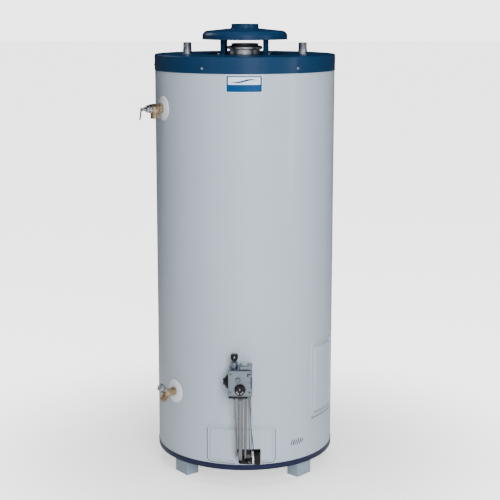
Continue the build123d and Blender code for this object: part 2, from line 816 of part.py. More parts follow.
gasket_thick = 3.0
handhole_plate = 6.0
plate_face = flange_face + gasket_thick + handhole_plate
with BuildPart() as handhole_gasket:
    with BuildSketch(radial_plane(handhole_azimuth, flange_face, handhole_height)):
        Circle(handhole_flange_radius - 1)
        Circle(handhole_radius, mode=Mode.SUBTRACT)
        with PolarLocations(handhole_bolt_circle, handhole_bolt_count):
            Circle(screw_shank_radius + 2, mode=Mode.SUBTRACT)
    extrude(amount=gasket_thick)
save(handhole_gasket.part, "handhole_gasket")

with BuildPart() as handhole_cover:
    with BuildSketch(radial_plane(handhole_azimuth, flange_face + gasket_thick, handhole_height)):
        Circle(handhole_flange_radius)
        with PolarLocations(handhole_bolt_circle, handhole_bolt_count):
            Circle(screw_shank_radius + 2, mode=Mode.SUBTRACT)
    extrude(amount=handhole_plate)
save(handhole_cover.part, "handhole_cover")

with BuildPart() as handhole_bolts:
    with BuildSketch(radial_plane(handhole_azimuth, plate_face, handhole_height)):
        with PolarLocations(handhole_bolt_circle, handhole_bolt_count):
            hexagon(11)
    extrude(amount=6)
    with BuildSketch(radial_plane(handhole_azimuth, flange_face - 6, handhole_height)):
        with PolarLocations(handhole_bolt_circle, handhole_bolt_count):
            Circle(screw_shank_radius + 2 - weld_gap)
    extrude(amount=plate_face - flange_face + 6)
save(handhole_bolts.part, "handhole_bolts")

with BuildPart() as access_cover:
    add(embossed_panel(handhole_azimuth, handhole_height, access_width, access_height, access_corner,
                       access_border, access_rise))
    for height in access_screw_heights:
        with BuildSketch(radial_plane(handhole_azimuth, jacket_radius - cut_depth, height)):
            Circle(screw_shank_radius + weld_gap)
        extrude(amount=3 * cut_depth, mode=Mode.SUBTRACT)
save(access_cover.part, "access_cover")

# ---------------------------------------------------------------- casing screws and badge

with BuildPart() as casing_screws:
    for azimuth, height, surface in casing_screw_spots:
        with BuildSketch(radial_plane(azimuth, surface + weld_gap, height)):
            Circle(screw_head_radius)
        extrude(amount=screw_head_height)
        with BuildSketch(radial_plane(azimuth, jacket_inside - screw_reach, height)):
            Circle(screw_shank_radius)
        extrude(amount=surface + 1 - jacket_inside + screw_reach)
    for azimuth in leg_azimuths:
        spot = point_at(azimuth, hood_foot_radius)
        with BuildSketch(Plane.XY.offset(pan_top + leg_wall + 2 * weld_gap)):
            with Locations(spot):
                Circle(screw_head_radius)
        extrude(amount=screw_head_height)
        with BuildSketch(Plane.XY.offset(pan_top - screw_reach)):
            with Locations(spot):
                Circle(screw_shank_radius)
        extrude(amount=screw_reach + leg_wall + 1)
save(casing_screws.part, "casing_screws")

badge_middle = rim_low - 4 - badge_height / 2
badge_face = jacket_radius + sheet_gap
with BuildPart() as badge_plate:
    add(curved_block(badge_azimuth, badge_middle, badge_width, badge_height, 5, badge_face, badge_face + 1.2))
save(badge_plate.part, "badge_plate")

# ---------------------------------------------------------------- draft hood


def bell(shrink, drop):
    """The hood's solid outline, smaller by shrink all round, with its lower edge dropped."""
    with BuildPart() as outline:
        with BuildSketch(Plane.XZ):
            with BuildLine():
                Polyline(
                    (0, hood_low - drop),
                    (hood_radius - shrink, hood_low - drop),
                    (hood_radius - shrink, hood_shoulder - shrink),
                    (collar_radius, collar_low - shrink),
                    (0, collar_low - shrink),
                    close=True,
                )
            make_face()
        revolve(axis=Axis.Z)
        rounded = outline.edges().filter_by(GeomType.CIRCLE).filter_by(
            lambda e: abs(e.center().Z - hood_shoulder + shrink) < 0.5 and e.radius > collar_radius + 10
        )
        fillet(rounded, hood_edge_radius - shrink)
    return outline.part


with BuildPart() as draft_hood_bell:
    add(bell(0, 0))
    add(bell(hood_wall, 5), mode=Mode.SUBTRACT)
    with BuildSketch(Plane.XY.offset(hood_low)):
        Circle(collar_radius + weld_gap)
    extrude(amount=100, mode=Mode.SUBTRACT)
save(draft_hood_bell.part, "draft_hood_bell")

with BuildPart() as draft_hood_collar:
    with BuildSketch(Plane.XY.offset(collar_low - 8)):
        Circle(collar_radius - 0.3)
    extrude(amount=8)
    with BuildSketch(Plane.XY.offset(collar_low)):
        Circle(collar_radius)
    extrude(amount=collar_height)
    with BuildSketch(Plane.XY.offset(collar_low + weld_gap)):
        Circle(collar_radius + 1.2)
    extrude(amount=collar_bead)
    with BuildSketch(Plane.XY.offset(collar_low - 3.4)):
        Circle(collar_radius + 6)
    extrude(amount=hood_wall)
    with BuildSketch(Plane.XY.offset(collar_low - 8)):
        Circle(collar_radius - hood_wall)
    extrude(amount=collar_height + 8, mode=Mode.SUBTRACT)
save(draft_hood_collar.part, "draft_hood_collar")

leg_top = hood_shoulder + 2.0
with BuildPart() as draft_hood_legs:
    for azimuth in leg_azimuths:
        with BuildSketch(radial_plane(azimuth, hood_leg_radius, (pan_top + leg_top) / 2)):
            Rectangle(hood_leg_width, leg_top - pan_top - 2 * weld_gap)
        extrude(amount=leg_wall)
        with BuildSketch(radial_plane(azimuth, hood_leg_radius, pan_top + weld_gap + leg_wall / 2)):
            Rectangle(hood_leg_width, leg_wall)
        extrude(amount=30)
        with BuildSketch(radial_plane(azimuth, hood_leg_radius, leg_top - weld_gap - leg_wall / 2)):
            Rectangle(hood_leg_width, leg_wall)
        extrude(amount=12)
        with Locations((*point_at(azimuth, hood_foot_radius), pan_top)):
            Cylinder(screw_shank_radius + weld_gap, 8, mode=Mode.SUBTRACT)
save(draft_hood_legs.part, "draft_hood_legs")

# ---------------------------------------------------------------- gas control

control_axis = -(control_back + control_depth / 2)
cavity_width = control_width - 2 * (gas_inlet_depth + 1)
cavity_height = control_tall - 18.0
cavity_depth = 40.0
cavity_back = control_front - cover_wall - cavity_depth
button_boss_width = 45.0
button_boss_middle = (control_width - button_boss_width) / 2
button_boss_top = control_top + button_boss_height
button_floor = button_boss_top - 14.0
button_stand = 6.0
collar_top = control_top + knob_collar_height
cover_screw_x = control_width / 2 - 8
cover_screw_heights = (control_bottom + 15, control_top - 13)
cover_screw_reach = 10.0

with BuildPart() as control_body:
    with BuildSketch(radial_plane(0, control_back, control_middle)):
        RectangleRounded(control_width, control_tall, 3)
    extrude(amount=control_depth - cover_wall)
    with BuildSketch(Plane.XY.offset(control_top - 1)):
        with Locations((button_boss_middle, control_axis)):
            RectangleRounded(button_boss_width, control_depth - 16, 4)
    extrude(amount=button_boss_height + 1)
    with BuildSketch(Plane.XY.offset(control_top - 1)):
        with Locations((knob_offset, control_axis)):
            Circle(knob_collar_radius)
    extrude(amount=knob_collar_height + 1)
    with BuildSketch(radial_plane(0, cavity_back, control_middle)):
        Rectangle(cavity_width, cavity_height)
    extrude(amount=cavity_depth, mode=Mode.SUBTRACT)
    with BuildSketch(radial_plane(0, cavity_back - 10, dial_height)):
        Circle(spindle_radius + running_fit)
    extrude(amount=10, mode=Mode.SUBTRACT)
    with BuildSketch(Plane.XY.offset(control_middle)):
        with Locations((knob_offset, control_axis)):
            Circle(spindle_radius + running_fit)
    extrude(amount=collar_top - control_middle, mode=Mode.SUBTRACT)
    with BuildSketch(Plane.XY.offset(button_floor)):
        with Locations((button_offset, control_axis)):
            Circle(button_radius + running_fit)
    extrude(amount=20, mode=Mode.SUBTRACT)
    with BuildSketch(Plane.YZ.offset(control_width / 2 - gas_inlet_depth)):
        with Locations((control_axis, control_middle)):
            Circle(gas_inlet_radius)
    extrude(amount=gas_inlet_depth, mode=Mode.SUBTRACT)
    with BuildSketch(Plane.YZ):
        with Locations((control_axis, control_middle)):
            Circle(gas_inlet_radius - 3)
    extrude(amount=control_width / 2 - gas_inlet_depth, mode=Mode.SUBTRACT)
    with BuildSketch(Plane.XY.offset(control_bottom)):
        with Locations((0, -tube_front)):
            Circle(manifold_radius + weld_gap)
        with Locations((pilot_top_x, -tube_front)):
            Circle(pilot_tube_radius + weld_gap)
        with Locations((lead_top_x, -tube_front)):
            Circle(lead_radius + weld_gap)
    extrude(amount=12.5, mode=Mode.SUBTRACT)
    with BuildSketch(radial_plane(0, control_back, probe_height)):
        Circle(port_shank_radius + weld_gap)
    extrude(amount=12, mode=Mode.SUBTRACT)
    for height in cover_screw_heights:
        with BuildSketch(radial_plane(0, control_front - cover_wall - cover_screw_reach, height)):
            with Locations((-cover_screw_x, 0), (cover_screw_x, 0)):
                Circle(screw_shank_radius + weld_gap)
        extrude(amount=cover_screw_reach, mode=Mode.SUBTRACT)
save(control_body.part, "control_body")

with BuildPart() as control_cover:
    with BuildSketch(radial_plane(0, control_front - cover_wall + 0.05, control_middle)):
        RectangleRounded(control_width, control_tall, 3)
    extrude(amount=cover_wall - 0.05)
    with BuildSketch(radial_plane(0, control_front - 1, control_middle + 12)):
        with Locations((-7, 0)):
            Circle(10)
    extrude(amount=4)
    fillet(control_cover.faces().sort_by(Axis.Y)[0].edges(), 1.5)
    with BuildSketch(radial_plane(0, control_front - 10, dial_height)):
        Circle(spindle_radius + running_fit)
    extrude(amount=20, mode=Mode.SUBTRACT)
    for height in cover_screw_heights:
        with BuildSketch(radial_plane(0, control_front - 10, height)):
            with Locations((-cover_screw_x, 0), (cover_screw_x, 0)):
                Circle(screw_shank_radius + weld_gap)
        extrude(amount=20, mode=Mode.SUBTRACT)
save(control_cover.part, "control_cover")

with BuildPart() as control_screws:
    for height in cover_screw_heights:
        with BuildSketch(radial_plane(0, control_front + 0.05, height)):
            with Locations((-cover_screw_x, 0), (cover_screw_x, 0)):
                Circle(screw_head_radius - 1)
        extrude(amount=2.4)
        with BuildSketch(radial_plane(0, control_front - cover_wall - cover_screw_reach + 1, height)):
            with Locations((-cover_screw_x, 0), (cover_screw_x, 0)):
                Circle(screw_shank_radius)
        extrude(amount=cover_wall + cover_screw_reach)
save(control_screws.part, "control_screws")

with BuildPart() as temperature_dial:
    with BuildSketch(radial_plane(0, control_front + loose_gap * 2, dial_height)):
        Circle(dial_radius)
    extrude(amount=dial_depth)
    fillet(temperature_dial.edges().group_by(Axis.Y)[0], 2)
    with BuildSketch(radial_plane(0, cavity_back - 9, dial_height)):
        Circle(spindle_radius)
    extrude(amount=control_front - cavity_back + 12)
save(temperature_dial.part, "temperature_dial")

with BuildPart() as gas_cock_knob:
    with BuildSketch(Plane.XY.offset(collar_top + loose_gap)):
        with Locations((knob_offset, control_axis)):
            Circle(knob_radius)
    extrude(amount=knob_tall)
    fillet(gas_cock_knob.edges().group_by(Axis.Z)[-1], 1.5)
    with BuildSketch(Plane.XY.offset(control_middle + cavity_height / 2 + 4)):
        with Locations((knob_offset, control_axis)):
            Circle(spindle_radius)
    extrude(amount=collar_top + 4 - control_middle - cavity_height / 2)
save(gas_cock_knob.part, "gas_cock_knob")

button_low = button_floor + button_travel + 1
with BuildPart() as reset_button:
    with BuildSketch(Plane.XY.offset(button_low)):
        with Locations((button_offset, control_axis)):
            Circle(button_radius)
    extrude(amount=button_boss_top + button_stand - button_low)
    fillet(reset_button.edges().group_by(Axis.Z)[-1], 1.5)
    with BuildSketch(Plane.XY.offset(button_low)):
        with Locations((button_offset, control_axis)):
            Circle(button_radius - 3)
    extrude(amount=10, mode=Mode.SUBTRACT)
save(reset_button.part, "reset_button")


def coil(start, coil_radius, wire, length, turns):
    """A helical spring that starts on that plane and runs along its Z."""
    pitch = (length - 2 * wire) / turns
    with BuildPart() as spring:
        with BuildLine():
            path = Helix(pitch, pitch * turns, coil_radius)
        with BuildSketch(Plane(origin=path @ 0, z_dir=path % 0)):
            Circle(wire)
        sweep(is_frenet=True)
    return start.offset(wire).location * spring.part


with BuildPart() as reset_spring:
    add(coil(Plane((button_offset, control_axis, button_floor)), 6, 0.5, button_low + 10 - button_floor, 5))
save(reset_spring.part, "reset_spring")

regulator_steps = ((regulator_radius, 8.0), (19.0, 5.0), (13.0, 7.0))
with BuildPart() as regulator_cap:
    reach = control_width / 2 + weld_gap
    for step_radius, step_length in regulator_steps:
        with BuildSketch(Plane.YZ.offset(-reach)):
            with Locations((control_axis, control_middle - 3)):
                Circle(step_radius)
        extrude(amount=-step_length)
        reach += step_length
save(regulator_cap.part, "regulator_cap")

flange_middle = (flange_width - control_width) / 2
with BuildPart() as control_flange:
    with BuildSketch(Plane.XY.offset(control_bottom - flange_thick)):
        with Locations((flange_middle, -tube_front)):
            Rectangle(flange_width, 38)
        with Locations((0, -tube_front)):
            Circle(manifold_radius + weld_gap, mode=Mode.SUBTRACT)
        with Locations((pilot_top_x, -tube_front)):
            Circle(pilot_tube_radius + weld_gap, mode=Mode.SUBTRACT)
    extrude(amount=flange_thick - weld_gap)
save(control_flange.part, "control_flange")

tube_nut_spots = (
    (0, manifold_radius, 25, control_bottom - flange_thick),
    (pilot_top_x, pilot_tube_radius, 11, control_bottom - flange_thick),
    (lead_top_x, lead_radius, 8, control_bottom),
)
with BuildPart() as tube_nuts:
    for across, radius, flats, top in tube_nut_spots:
        with BuildSketch(Plane.XY.offset(top - weld_gap)):
            with Locations((across, -tube_front)):
                hexagon(flats)
                Circle(radius + weld_gap, mode=Mode.SUBTRACT)
        extrude(amount=-12)
save(tube_nuts.part, "tube_nuts")

probe_radius = 5.5
probe_clearance = 42.0  # between the probe's tip and the flue
shank_start = spud_face - 10
probe_length = shank_start - flue_radius - probe_clearance
with BuildPart() as thermostat_probe:
    with BuildSketch(radial_plane(0, shank_start, probe_height)):
        Circle(port_shank_radius)
    extrude(amount=control_back + 11.5 - shank_start)
    with BuildSketch(radial_plane(0, jacket_radius + 1.5, probe_height)):
        hexagon(32)
    extrude(amount=control_standoff - 3)
    with BuildSketch(radial_plane(0, shank_start - probe_length, probe_height)):
        Circle(probe_radius)
    extrude(amount=probe_length)
save(thermostat_probe.part, "thermostat_probe")

# ---------------------------------------------------------------- relief valve


def escutcheon(azimuth, height, radius):
    """A round plate that lies on the jacket round a valve's shank."""
    inside = jacket_radius + sheet_gap
    plate = curved_block(azimuth, height, 2 * radius, 2 * radius, radius - 0.5, inside, inside + 3)
    with BuildPart() as disc:
        add(plate)
        with BuildSketch(radial_plane(azimuth, jacket_radius - cut_depth, height)):
            Circle(port_shank_radius + 0.4)
        extrude(amount=2 * cut_depth, mode=Mode.SUBTRACT)
    return disc.part


def relief_plane(reach):
    """The plane across the relief valve, that far out from the jacket."""
    return radial_plane(relief_azimuth, jacket_radius + reach, relief_height)


with BuildPart() as relief_escutcheon:
    add(escutcheon(relief_azimuth, relief_height, relief_escutcheon_radius))
save(relief_escutcheon.part, "relief_escutcheon")

relief_hex = 8.0
relief_seat = 30.0
relief_body_end = 50.0
relief_outlet_reach = 33.0
relief_outlet_drop = 36.0
relief_outlet_radius = 12.2
bonnet_ceiling = 66.0
bonnet_end = 76.0
lever_pin = 83.0
lever_pin_radius = 1.8
stem_radius = 3.0
disc_radius = 10.0
lever_side = side_plane(relief_azimuth, jacket_radius + lever_pin, relief_height)
with BuildPart() as relief_body:
    with BuildSketch(radial_plane(relief_azimuth, shank_start, relief_height)):
        Circle(port_shank_radius)
    extrude(amount=jacket_radius + relief_hex + 1 - shank_start)
    with BuildSketch(relief_plane(relief_hex)):
        hexagon(35)
    extrude(amount=12)
    with BuildSketch(relief_plane(relief_hex + 11)):
        Circle(18)
    extrude(amount=relief_body_end - relief_hex - 11)
    with BuildSketch(Plane.XY.offset(relief_height - relief_outlet_drop)):
        with Locations(point_at(relief_azimuth, jacket_radius + relief_outlet_reach)):
            Circle(16)
    extrude(amount=relief_outlet_drop)
    with BuildSketch(radial_plane(relief_azimuth, shank_start, relief_height)):
        Circle(port_bore_radius - 1)
    extrude(amount=jacket_radius + relief_seat - shank_start, mode=Mode.SUBTRACT)
    with BuildSketch(relief_plane(relief_seat)):
        Circle(13)
    extrude(amount=relief_body_end - relief_seat, mode=Mode.SUBTRACT)
    with BuildSketch(relief_plane(relief_seat)):
        Circle(port_bore_radius + 1)
        Circle(port_bore_radius - 1, mode=Mode.SUBTRACT)
    extrude(amount=-2)
    with BuildSketch(Plane.XY.offset(relief_height - relief_outlet_drop)):
        with Locations(point_at(relief_azimuth, jacket_radius + relief_outlet_reach)):
            Circle(relief_outlet_radius)
    extrude(amount=relief_outlet_drop - 12, mode=Mode.SUBTRACT)
save(relief_body.part, "relief_body")

with BuildPart() as relief_bonnet:
    with BuildSketch(relief_plane(relief_body_end + weld_gap)):
        Circle(16.5)
    extrude(amount=4)
    with BuildSketch(relief_plane(relief_body_end + 3)):
        Circle(14)
    extrude(amount=bonnet_ceiling - relief_body_end - 1)
    fillet(relief_bonnet.faces().sort_by(Axis((0, 0, 0), relief_plane(0).z_dir))[-1].edges(), 4)
    with BuildSketch(relief_plane(bonnet_ceiling)):
        Circle(7.5)
    extrude(amount=bonnet_end - bonnet_ceiling)
    with BuildSketch(relief_plane(relief_body_end)):
        Circle(11)
    extrude(amount=bonnet_ceiling - relief_body_end, mode=Mode.SUBTRACT)
    with BuildSketch(relief_plane(bonnet_ceiling)):
        Circle(stem_radius + running_fit)
    extrude(amount=20, mode=Mode.SUBTRACT)
save(relief_bonnet.part, "relief_bonnet")

with BuildPart() as relief_stem:
    with BuildSketch(relief_plane(relief_seat + 0.05)):
        Circle(disc_radius)
    extrude(amount=3)
    with BuildSketch(relief_plane(relief_seat + 2)):
        Circle(stem_radius)
    extrude(amount=lever_pin + 4 - relief_seat - 2)
    with BuildSketch(lever_side):
        Circle(lever_pin_radius)
    extrude(amount=8, both=True)
save(relief_stem.part, "relief_stem")

spring_start = relief_seat + 3.3
with BuildPart() as relief_spring:
    add(coil(relief_plane(spring_start), 7, 0.9, bonnet_ceiling - 0.3 - spring_start, 5))
save(relief_spring.part, "relief_spring")

cheek_inside = stem_radius + 0.8
cheek_wall = 2.0
cheek_radius = 5.0
lever_length = 38.0
lever_sheet = 2.0
with BuildPart() as relief_lever:
    for side in (-1, 1):
        with BuildSketch(lever_side.offset(side * (cheek_inside + cheek_wall / 2) - cheek_wall / 2)):
            Circle(cheek_radius)
            with Locations((0, cheek_radius)):
                Circle(0.6 * cheek_radius)
            with Locations((0, -cheek_radius)):
                Rectangle(6, 8)
            Circle(lever_pin_radius + running_fit, mode=Mode.SUBTRACT)
        extrude(amount=cheek_wall)
    with BuildSketch(lever_side.offset(-cheek_inside - cheek_wall)):
        Polygon(
            (3, -cheek_radius - 0.5),
            (3 + lever_sheet, -cheek_radius - 0.5),
            (6 + lever_sheet, -lever_length),
            (6, -lever_length),
            align=None,
        )
        with Locations((1, -cheek_radius - 2)):
            Rectangle(6, 3)
    extrude(amount=2 * (cheek_inside + cheek_wall))
save(relief_lever.part, "relief_lever")

# ---------------------------------------------------------------- drain valve

drain_node = 30.0  # the middle of the valve's body, out from the jacket
drain_spout_fall = 42.0
drain_stem_rise = 38.0
hose_radius = 13.3
spout_length = 38.0
hose_thread = 22.0
drain_bonnet_length = 30.0
drain_packing = 21.0
drain_bore_radius = 7.0
drain_stem_radius = 3.5
drain_lift = 4.0


def drain_plane(rise, reach):
    """The plane across one branch of the drain valve, that far from the middle of its body."""
    return tilted_plane(drain_azimuth, jacket_radius + drain_node, drain_height, rise).offset(reach)


with BuildPart() as drain_escutcheon:
    add(escutcheon(drain_azimuth, drain_height, drain_escutcheon_radius))
save(drain_escutcheon.part, "drain_escutcheon")

with BuildPart() as drain_body:
    with BuildSketch(radial_plane(drain_azimuth, shank_start, drain_height)):
        Circle(port_shank_radius)
    extrude(amount=jacket_radius + drain_node - shank_start)
    with BuildSketch(radial_plane(drain_azimuth, jacket_radius + 5, drain_height)):
        hexagon(31)
    extrude(amount=9)
    with Locations(drain_plane(0, 0).location):
        Sphere(16)
    with BuildSketch(drain_plane(-drain_spout_fall, 0)):
        Circle(hose_radius - 1.8)
    extrude(amount=spout_length)
    with BuildSketch(drain_plane(-drain_spout_fall, spout_length - hose_thread)):
        Circle(hose_radius)
    extrude(amount=hose_thread)
    with BuildSketch(drain_plane(drain_stem_rise, 0)):
        Circle(11)
    extrude(amount=drain_bonnet_length)
    with BuildSketch(drain_plane(drain_stem_rise, drain_packing)):
        hexagon(24)
    extrude(amount=drain_bonnet_length - drain_packing)
    with BuildSketch(radial_plane(drain_azimuth, shank_start, drain_height)):
        Circle(port_bore_radius)
    extrude(amount=jacket_radius + drain_node - shank_start, mode=Mode.SUBTRACT)
    with BuildSketch(drain_plane(-drain_spout_fall, 0)):
        Circle(port_bore_radius)
    extrude(amount=spout_length, mode=Mode.SUBTRACT)
    with BuildSketch(drain_plane(drain_stem_rise, 0)):
        Circle(drain_bore_radius)
    extrude(amount=drain_packing, mode=Mode.SUBTRACT)
    with BuildSketch(drain_plane(drain_stem_rise, drain_packing)):
        Circle(drain_stem_radius + running_fit)
    extrude(amount=drain_bonnet_length, mode=Mode.SUBTRACT)
save(drain_body.part, "drain_body")

stem_foot = 9.0
handle_reach = drain_bonnet_length + 3.0
handle_radius = 15.0
with BuildPart() as drain_stem:
    with BuildSketch(drain_plane(drain_stem_rise, stem_foot)):
        Circle(drain_bore_radius - loose_gap)
    extrude(amount=3)
    with BuildSketch(drain_plane(drain_stem_rise, stem_foot)):
        Circle(drain_stem_radius)
    extrude(amount=handle_reach + 8 - stem_foot)
save(drain_stem.part, "drain_stem")

with BuildPart() as drain_handle:
    with BuildSketch(drain_plane(drain_stem_rise, handle_reach)):
        Circle(handle_radius)
    extrude(amount=13)
    with BuildSketch(drain_plane(drain_stem_rise, handle_reach)):
        Circle(drain_stem_radius + running_fit)
    extrude(amount=8 + loose_gap, mode=Mode.SUBTRACT)
    with BuildSketch(drain_plane(drain_stem_rise, handle_reach + 10)):
        Rectangle(40, 3)
    extrude(amount=5, mode=Mode.SUBTRACT)
save(drain_handle.part, "drain_handle")
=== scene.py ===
# %% [markdown]
# # A gas storage water heater, built round its CAD frame
#
# The engineering model already holds every shell, tube, valve and joint at its real size. This
# lesson gives it its looks: finishes that follow how each surface was made, and the fine pieces
# that engineering drawings leave out, such as threads, knurls, pressed edges and printed marks.

import json
from math import atan2, cos, degrees, pi, radians, sin, sqrt, tan

import bmesh
import bpy
from mathutils import Matrix, Vector


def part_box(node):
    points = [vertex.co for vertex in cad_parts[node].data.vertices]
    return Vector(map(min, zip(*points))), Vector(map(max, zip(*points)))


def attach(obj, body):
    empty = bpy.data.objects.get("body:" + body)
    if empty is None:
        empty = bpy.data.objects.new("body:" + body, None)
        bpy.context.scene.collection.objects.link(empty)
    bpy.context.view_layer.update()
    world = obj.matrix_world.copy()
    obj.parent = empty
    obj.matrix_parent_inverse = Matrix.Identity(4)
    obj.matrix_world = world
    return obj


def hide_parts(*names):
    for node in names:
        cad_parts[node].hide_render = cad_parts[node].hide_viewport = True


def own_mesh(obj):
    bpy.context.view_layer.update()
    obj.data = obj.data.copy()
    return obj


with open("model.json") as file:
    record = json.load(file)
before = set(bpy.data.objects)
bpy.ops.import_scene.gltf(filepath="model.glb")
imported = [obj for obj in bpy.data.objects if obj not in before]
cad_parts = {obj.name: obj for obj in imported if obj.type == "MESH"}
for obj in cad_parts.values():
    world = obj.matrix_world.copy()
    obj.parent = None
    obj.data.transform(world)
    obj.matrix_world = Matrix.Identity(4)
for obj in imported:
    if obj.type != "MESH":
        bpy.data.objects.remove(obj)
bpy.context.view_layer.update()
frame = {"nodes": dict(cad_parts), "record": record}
nodes = frame["nodes"]
joints = {joint["name"]: joint for joint in frame["record"]["behaviour"]["joints"]}
mounts = {mount["name"]: mount for mount in frame["record"]["mounts"]}

# %% [markdown]
# ## Sizes that come from the frame
#
# A detail has to land exactly on the piece that it belongs to, so its place is read from the CAD
# rather than typed again. Lengths are in metres, and an azimuth is measured in degrees round the
# tank from the front (-Y), growing towards the right-hand side (+X).

# %%  Sizes
MM = 0.001
jacket_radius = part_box("jacket")[1].x
pan_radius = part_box("top_pan")[1].x
pan_low, pan_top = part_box("top_pan")[0].z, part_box("top_pan")[1].z
base_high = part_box("bottom_pan")[1].z
FORWARD = (0, -1, 0)  # the way that the heater's front looks


def middle(node):
    """The middle of a CAD node's box."""
    low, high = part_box(node)
    return (low + high) / 2


def azimuth_of(point):
    """The azimuth of a point or direction."""
    return degrees(atan2(point[0], -point[1]))


def half_size(node, axis):
    """Half the size of a CAD node along axis 0, 1 or 2, in millimetres."""
    low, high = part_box(node)
    return (high[axis] - low[axis]) / 2 / MM


def add_to_scene(name, data):
    """A new object, linked to the scene."""
    thing = bpy.data.objects.new(name, data)
    bpy.context.scene.collection.objects.link(thing)
    return thing


print(f"jacket {2 * jacket_radius:.4f} m across, pan top at {pan_top:.4f} m")

# %% [markdown]
# ## Colours
#
# Paint charts give colours as sRGB hex values, and Blender's shaders want linear light. One
# function makes the change, so that every finish below can be read like a paint chart.


# %%  Colour conversion
def paint(hex_colour):
    """Linear RGBA from an sRGB hex value such as 'c2c8cc'."""
    channels = [int(hex_colour[i : i + 2], 16) / 255 for i in (0, 2, 4)]
    linear = [c / 12.92 if c <= 0.04045 else ((c + 0.055) / 1.055) ** 2.4 for c in channels]
    return (*linear, 1.0)


# %% [markdown]
# ## Adding shader nodes
#
# A finish is a small graph. One function adds a node, sets its options and makes its links, and
# the finishes below are lists of such calls. Object coordinates are in metres here, so a pattern
# that repeats every 2 mm has a scale of 1 / 0.002.


# %%  Node helper
def add_node(tree, kind, inputs=None, **settings):
    """Adds a node. Inputs are values, or output sockets to link; settings are its own options."""
    node = tree.nodes.new(kind)
    for name, value in settings.items():
        setattr(node, name, value)
    for name, value in (inputs or {}).items():
        if isinstance(value, bpy.types.NodeSocket):
            tree.links.new(value, node.inputs[name])
        else:
            node.inputs[name].default_value = value
    return node


def start_finish(name, **shader_values):
    """A new material with a Principled shader, and the metre coordinates of the surface."""
    finish = bpy.data.materials.new(name)
    finish.use_nodes = True
    tree = finish.node_tree
    tree.nodes.clear()
    shader = add_node(tree, "ShaderNodeBsdfPrincipled")
    for socket, value in shader_values.items():
        shader.inputs[socket.replace("_", " ")].default_value = value
    add_node(tree, "ShaderNodeOutputMaterial", {"Surface": shader.outputs[0]})
    place = add_node(tree, "ShaderNodeTexCoord").outputs["Object"]
    finishes[name] = finish
    return tree, shader, place


finishes = {}
MIX_A, MIX_B = 6, 7  # the two colour inputs of a Mix node


def per(millimetres):
    """The texture scale of a pattern that repeats every so many millimetres."""
    return 1 / (millimetres * MM)


def add_tone(tree, shader, pattern, dull, bright):
    """The colour goes from dull to bright as the pattern does."""
    shades = {"Factor": pattern, MIX_A: paint(dull), MIX_B: paint(bright)}
    tone = add_node(tree, "ShaderNodeMix", shades, data_type="RGBA")
    tree.links.new(tone.outputs[2], shader.inputs["Base Color"])


def add_gloss(tree, shader, pattern, smooth, rough):
    """The roughness goes from smooth to rough as the pattern does."""
    limits = {"Value": pattern, "To Min": smooth, "To Max": rough}
    gloss = add_node(tree, "ShaderNodeMapRange", limits)
    tree.links.new(gloss.outputs[0], shader.inputs["Roughness"])


def add_relief(tree, shader, pattern, strength, depth_mm):
    """The pattern stands out of the surface by that depth."""
    relief = {"Height": pattern, "Strength": strength, "Distance": depth_mm * MM}
    bump = add_node(tree, "ShaderNodeBump", relief)
    tree.links.new(bump.outputs[0], shader.inputs["Normal"])


# %% [markdown]
# ## Baked enamel
#
# The jacket, pans and hood are sheet steel with a sprayed enamel that is baked hard. The baking
# leaves a faint orange peel a few millimetres wide and a satin gloss. A fine noise makes the
# peel, and another, half a metre wide, gives the slight drift of tone that a sprayed panel has.


# %%  Baked enamel
def baked_enamel(name, colour, shade, roughness, coat, specular=0.5):
    tree, shader, place = start_finish(
        name, IOR=1.5, Coat_Weight=coat, Coat_Roughness=0.12, Specular_IOR_Level=specular
    )
    wide = {"Vector": place, "Scale": per(450), "Detail": 3.0}
    drift = add_node(tree, "ShaderNodeTexNoise", wide).outputs["Fac"]
    fine = {"Vector": place, "Scale": per(4), "Detail": 2.0}
    peel = add_node(tree, "ShaderNodeTexNoise", fine).outputs["Fac"]
    add_tone(tree, shader, drift, shade, colour)
    add_gloss(tree, shader, drift, roughness - 0.04, roughness + 0.05)
    add_relief(tree, shader, peel, 0.06, 0.3)


baked_enamel("light_grey_enamel", "adbac6", "a4b1bd", 0.36, 0.25)
baked_enamel("dark_blue_enamel", "0d2f4e", "0b2a47", 0.36, 0.05, specular=0.25)
baked_enamel("navy_enamel", "131a38", "101631", 0.36, 0.05, specular=0.25)
baked_enamel("foot_enamel", "8f9fac", "8797a4", 0.42, 0.1)

# %% [markdown]
# ## Bare and plated metals
#
# Most of the fittings are left as metal. What tells them apart is the surface that their making
# left: zinc crystals on galvanised pipe, sand grain on castings and forgings, fine turning or
# drawing lines on tube, and scale on rolled steel. Each keeps Principled's default IOR and is
# fully metallic, so its colour is the colour of its reflection.


# %%  Metal with a grain
def grained_metal(
    name, bright, dull, grain_mm, roughness, depth_mm, stretch=(1, 1, 1), spread=0.12,
):
    """A metal whose tone, gloss and relief follow one noise, which may be drawn out one way."""
    tree, shader, place = start_finish(name, Metallic=1.0)
    drawn = add_node(tree, "ShaderNodeMapping", {"Vector": place, "Scale": stretch}).outputs[0]
    noise = {"Vector": drawn, "Scale": per(grain_mm), "Detail": 5.0, "Roughness": 0.6}
    grain = add_node(tree, "ShaderNodeTexNoise", noise).outputs["Fac"]
    add_tone(tree, shader, grain, dull, bright)
    add_gloss(tree, shader, grain, roughness - spread / 2, roughness + spread)
    add_relief(tree, shader, grain, 0.35, depth_mm)


# Die-cast aluminium: a fine, even grain from the die, a little darker in its hollows.
grained_metal("die_cast_aluminium", "a9b4be", "6f7a85", 1.6, 0.42, 0.12)
# Drawn aluminium tube: lines that run along the tube, which here stands upright.
grained_metal("drawn_aluminium", "a9a7a9", "58575b", 1.2, 0.2, 0.05, stretch=(1, 1, 0.03))
